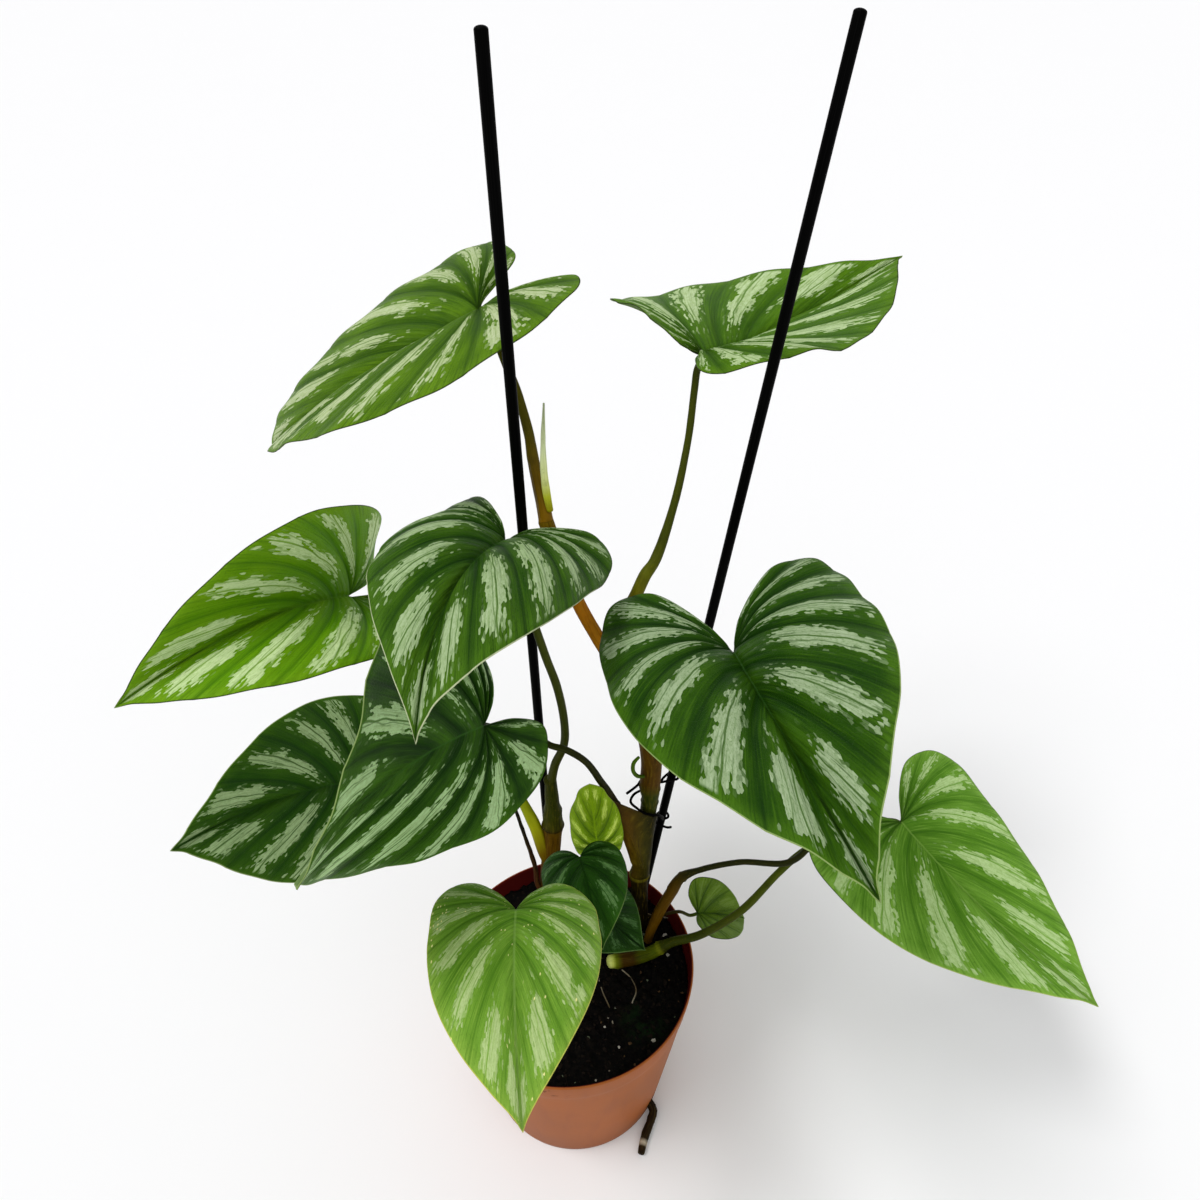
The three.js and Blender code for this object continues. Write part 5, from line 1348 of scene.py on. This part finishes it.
# Scatters turned, stretched copies of a chip or a fibre over the soil's top
def makeScatterTree():
    graph, inputs = newTree("scatterBits", [
        ("Density", "Float", 100000.0), ("Smallest", "Float", 0.3), ("Largest", "Float", 1.0),
        ("Flatness", "Float", 0.5), ("Seed", "Int", 1), ("Chip", "Object", None),
        ("Material", "Material", None),
    ])
    seed = inputs["Seed"]

    # A vector is drawn between sockets 0 and 1, a number between sockets 2 and 3
    def drawn(low, high, seed, vector=False):
        kind, first = ("FLOAT_VECTOR", 0) if vector else ("FLOAT", 2)
        return graph.wire("FunctionNodeRandomValue", {"data_type": kind},
                          {first: low, first + 1: high, "Seed": seed}, first // 2)

    upward = graph.split(graph.wire("GeometryNodeInputNormal"))[2]
    top = graph.wire("FunctionNodeCompare", {"data_type": "FLOAT", "operation": "GREATER_THAN"},
                     {0: upward, 1: leastUpward})
    spread = graph.wire("GeometryNodeDistributePointsOnFaces", {"distribute_method": "RANDOM"}, {
        "Mesh": inputs["Geometry"], "Selection": top, "Density": inputs["Density"], "Seed": seed}, "Points")
    chip = graph.wire("GeometryNodeObjectInfo", None, {"Object": inputs["Chip"]}, "Geometry")
    turn = drawn((-0.5, -0.5, 0.0), (0.5, 0.5, math.tau), seed, vector=True)
    stretch = drawn((0.6, 0.6, 0.4), (1.5, 1.0, 1.0), seed, vector=True)
    shape = graph.vectorMath("MULTIPLY", stretch, graph.combine(1.0, 1.0, inputs["Flatness"]))
    shape = graph.scaled(shape, drawn(inputs["Smallest"], inputs["Largest"], seed))
    copies = graph.wire("GeometryNodeInstanceOnPoints", None, {
        "Points": spread, "Instance": chip, "Rotation": turn, "Scale": shape})
    copies = graph.wire("GeometryNodeStoreNamedAttribute", {"data_type": "FLOAT", "domain": "INSTANCE"}, {
        "Geometry": copies, "Name": "pick", "Value": drawn(0.0, 1.0, pickSeed)})
    return closeTree(graph, copies, inputs["Material"])


chipRough, chipGrain = 0.5, 1700


def chipShape():
    bpy.ops.mesh.primitive_ico_sphere_add(subdivisions=1, radius=1 * mm)
    chip = bpy.context.object
    for vertex in chip.data.vertices:
        vertex.co *= 1 + chipRough * noise.noise(vertex.co * chipGrain)
    return chip


soilBody = soilPiece(soilLook())
bitsMaterial = bitsLook()
fibre = {
    "route": [(-6, 0, 0.2, 0.11), (-3, 1.4, 0.9, 0.13), (0, 0.4, 0.5, 0.13), (3, -1.2, 1.0, 0.12),
              (6, 0.3, 0.1, 0.08)],
    "sides": 5, "pitch": 1.6, "grain": 0.0, "shade": plainShade,
    "paints": [(0, (120, 96, 66)), (4, (120, 96, 66))],
}
scatters = {
    "soil_chips": {"count": 1500, "Smallest": 0.35, "Largest": 1.25, "Flatness": 0.6, "Seed": 5,
                   "Chip": chipShape()},
    "soil_fibres": {"count": 46, "Smallest": 0.5, "Largest": 1.3, "Flatness": 1.0, "Seed": 11,
                    "Chip": stalkPiece("fibre_shape", fibre, bitsMaterial)},
}
scatterTree = makeScatterTree()
topArea = math.pi * (potRadius(soil["top"]) * mm) ** 2
for name, scatter in scatters.items():
    bits = addObject(name, soilBody.data.copy())
    density = scatter["count"] / topArea
    applyTree(bits, scatterTree, {**scatter, "Density": density, "Material": bitsMaterial})
    bpy.data.objects.remove(scatter["Chip"])
    finishPiece(bits, None)
finishPiece(soilBody, "soil")
surfaceRoots = {
    "first": [(13.4, -2.6), (15.8, -10.9), (18.5, -18.0), (20.1, -26.3)],
    "second": [(25.4, 0.3), (29.2, -3.0), (31.8, -10.3), (29.6, -16.4)],
    "third": [(2.1, 23.1), (9.7, 17.1), (14.7, 8.7), (18.6, 4.6)],
    "fourth": [(52.4, 28.3), (43.7, 30.4), (38.2, 33.0)],
}
surfaceRoot = {"radius": 0.32, "sides": 8, "grain": 0.05, "pitch": 1.0, "domeStart": True,
               "shade": plainShade,
               "paints": [(0, (176, 166, 148)), (2, (128, 112, 90)), (3, (190, 182, 166))]}
for name, line in surfaceRoots.items():
    radius = surfaceRoot["radius"]
    route = [(x, y, soilHeight(x, y) + radius, radius) for x, y in line]
    finishPiece(stalkPiece("soil_root_" + name, surfaceRoot, rootSkin, route), None)
print("soil made")

# Plain pale floor, soft light and the camera
stage = {"half": 16000, "floor": (246, 246, 247), "cloud": (232, 232, 234)}
lights = {
    "key": {"from": (-0.45, -0.1, 1.0), "spread": 17, "strength": 1.0},
    "second": {"from": (-0.56, -0.36, 1.0), "spread": 20, "strength": 0.42},
    "front": {"from": (0.1, -1.0, 0.8), "spread": 80, "strength": 0.6},
    "back": {"from": (-0.2, 1.3, 1.5), "spread": 60, "strength": 0.2},
}
sky = {"Color": (1.0, 1.0, 1.0, 1.0), "Strength": 0.52}
camera = {"at": (20, -243, 503), "down": 37.2, "roll": -1.72, "focal": 900, "frame": 1200, "sensor": 36,
          "near": 0.01, "far": 100}


def floorLook():
    look, tones = Look("floor_paper"), painted(stage)
    cloud = look.noise(look.place(), 3.0, 2.0)
    return look.surface(colour=look.layers(tones["floor"], (cloud * 0.04, tones["cloud"])),
                        rough=0.85, specular=0.1)


half = stage["half"]
corners = [(-half, -half, 0), (half, -half, 0), (half, half, 0), (-half, half, 0)]
meshObject("floor", corners, [(0, 1, 2, 3)], floorLook())

# Each light shines evenly from one side of the sky; its spread makes the shadows soft
for name, light in lights.items():
    data = bpy.data.lights.new(name, "SUN")
    data.energy = light["strength"]
    data.angle = math.radians(light["spread"])
    lamp = addObject(name, data)
    lamp.location = light["from"]
    lamp.rotation_euler = (-Vector(light["from"])).to_track_quat("-Z", "Y").to_euler()

world = bpy.data.worlds.new("studio")
world.use_nodes = True
background = next(node for node in world.node_tree.nodes if node.type == "BACKGROUND")
for key, value in sky.items():
    background.inputs[key].default_value = value
bpy.context.scene.world = world
bpy.context.scene.view_settings.view_transform = "Standard"

down, roll = math.radians(camera["down"]), math.radians(camera["roll"])
forward = Vector((0, math.cos(down), -math.sin(down)))
level = Vector((1, 0, 0))
upright = level.cross(forward)
right = level * math.cos(roll) + upright * math.sin(roll)
top = upright * math.cos(roll) - level * math.sin(roll)
cameraData = bpy.data.cameras.new("view")
cameraData.sensor_width = camera["sensor"]
cameraData.lens = camera["sensor"] * camera["focal"] / camera["frame"]
cameraData.clip_start, cameraData.clip_end = camera["near"], camera["far"]
viewCamera = addObject("view", cameraData)
viewCamera.matrix_world = Matrix((
    *((right[i], top[i], -forward[i], camera["at"][i] * mm) for i in range(3)), (0, 0, 0, 1)))
bpy.context.scene.camera = viewCamera
print("stage made")
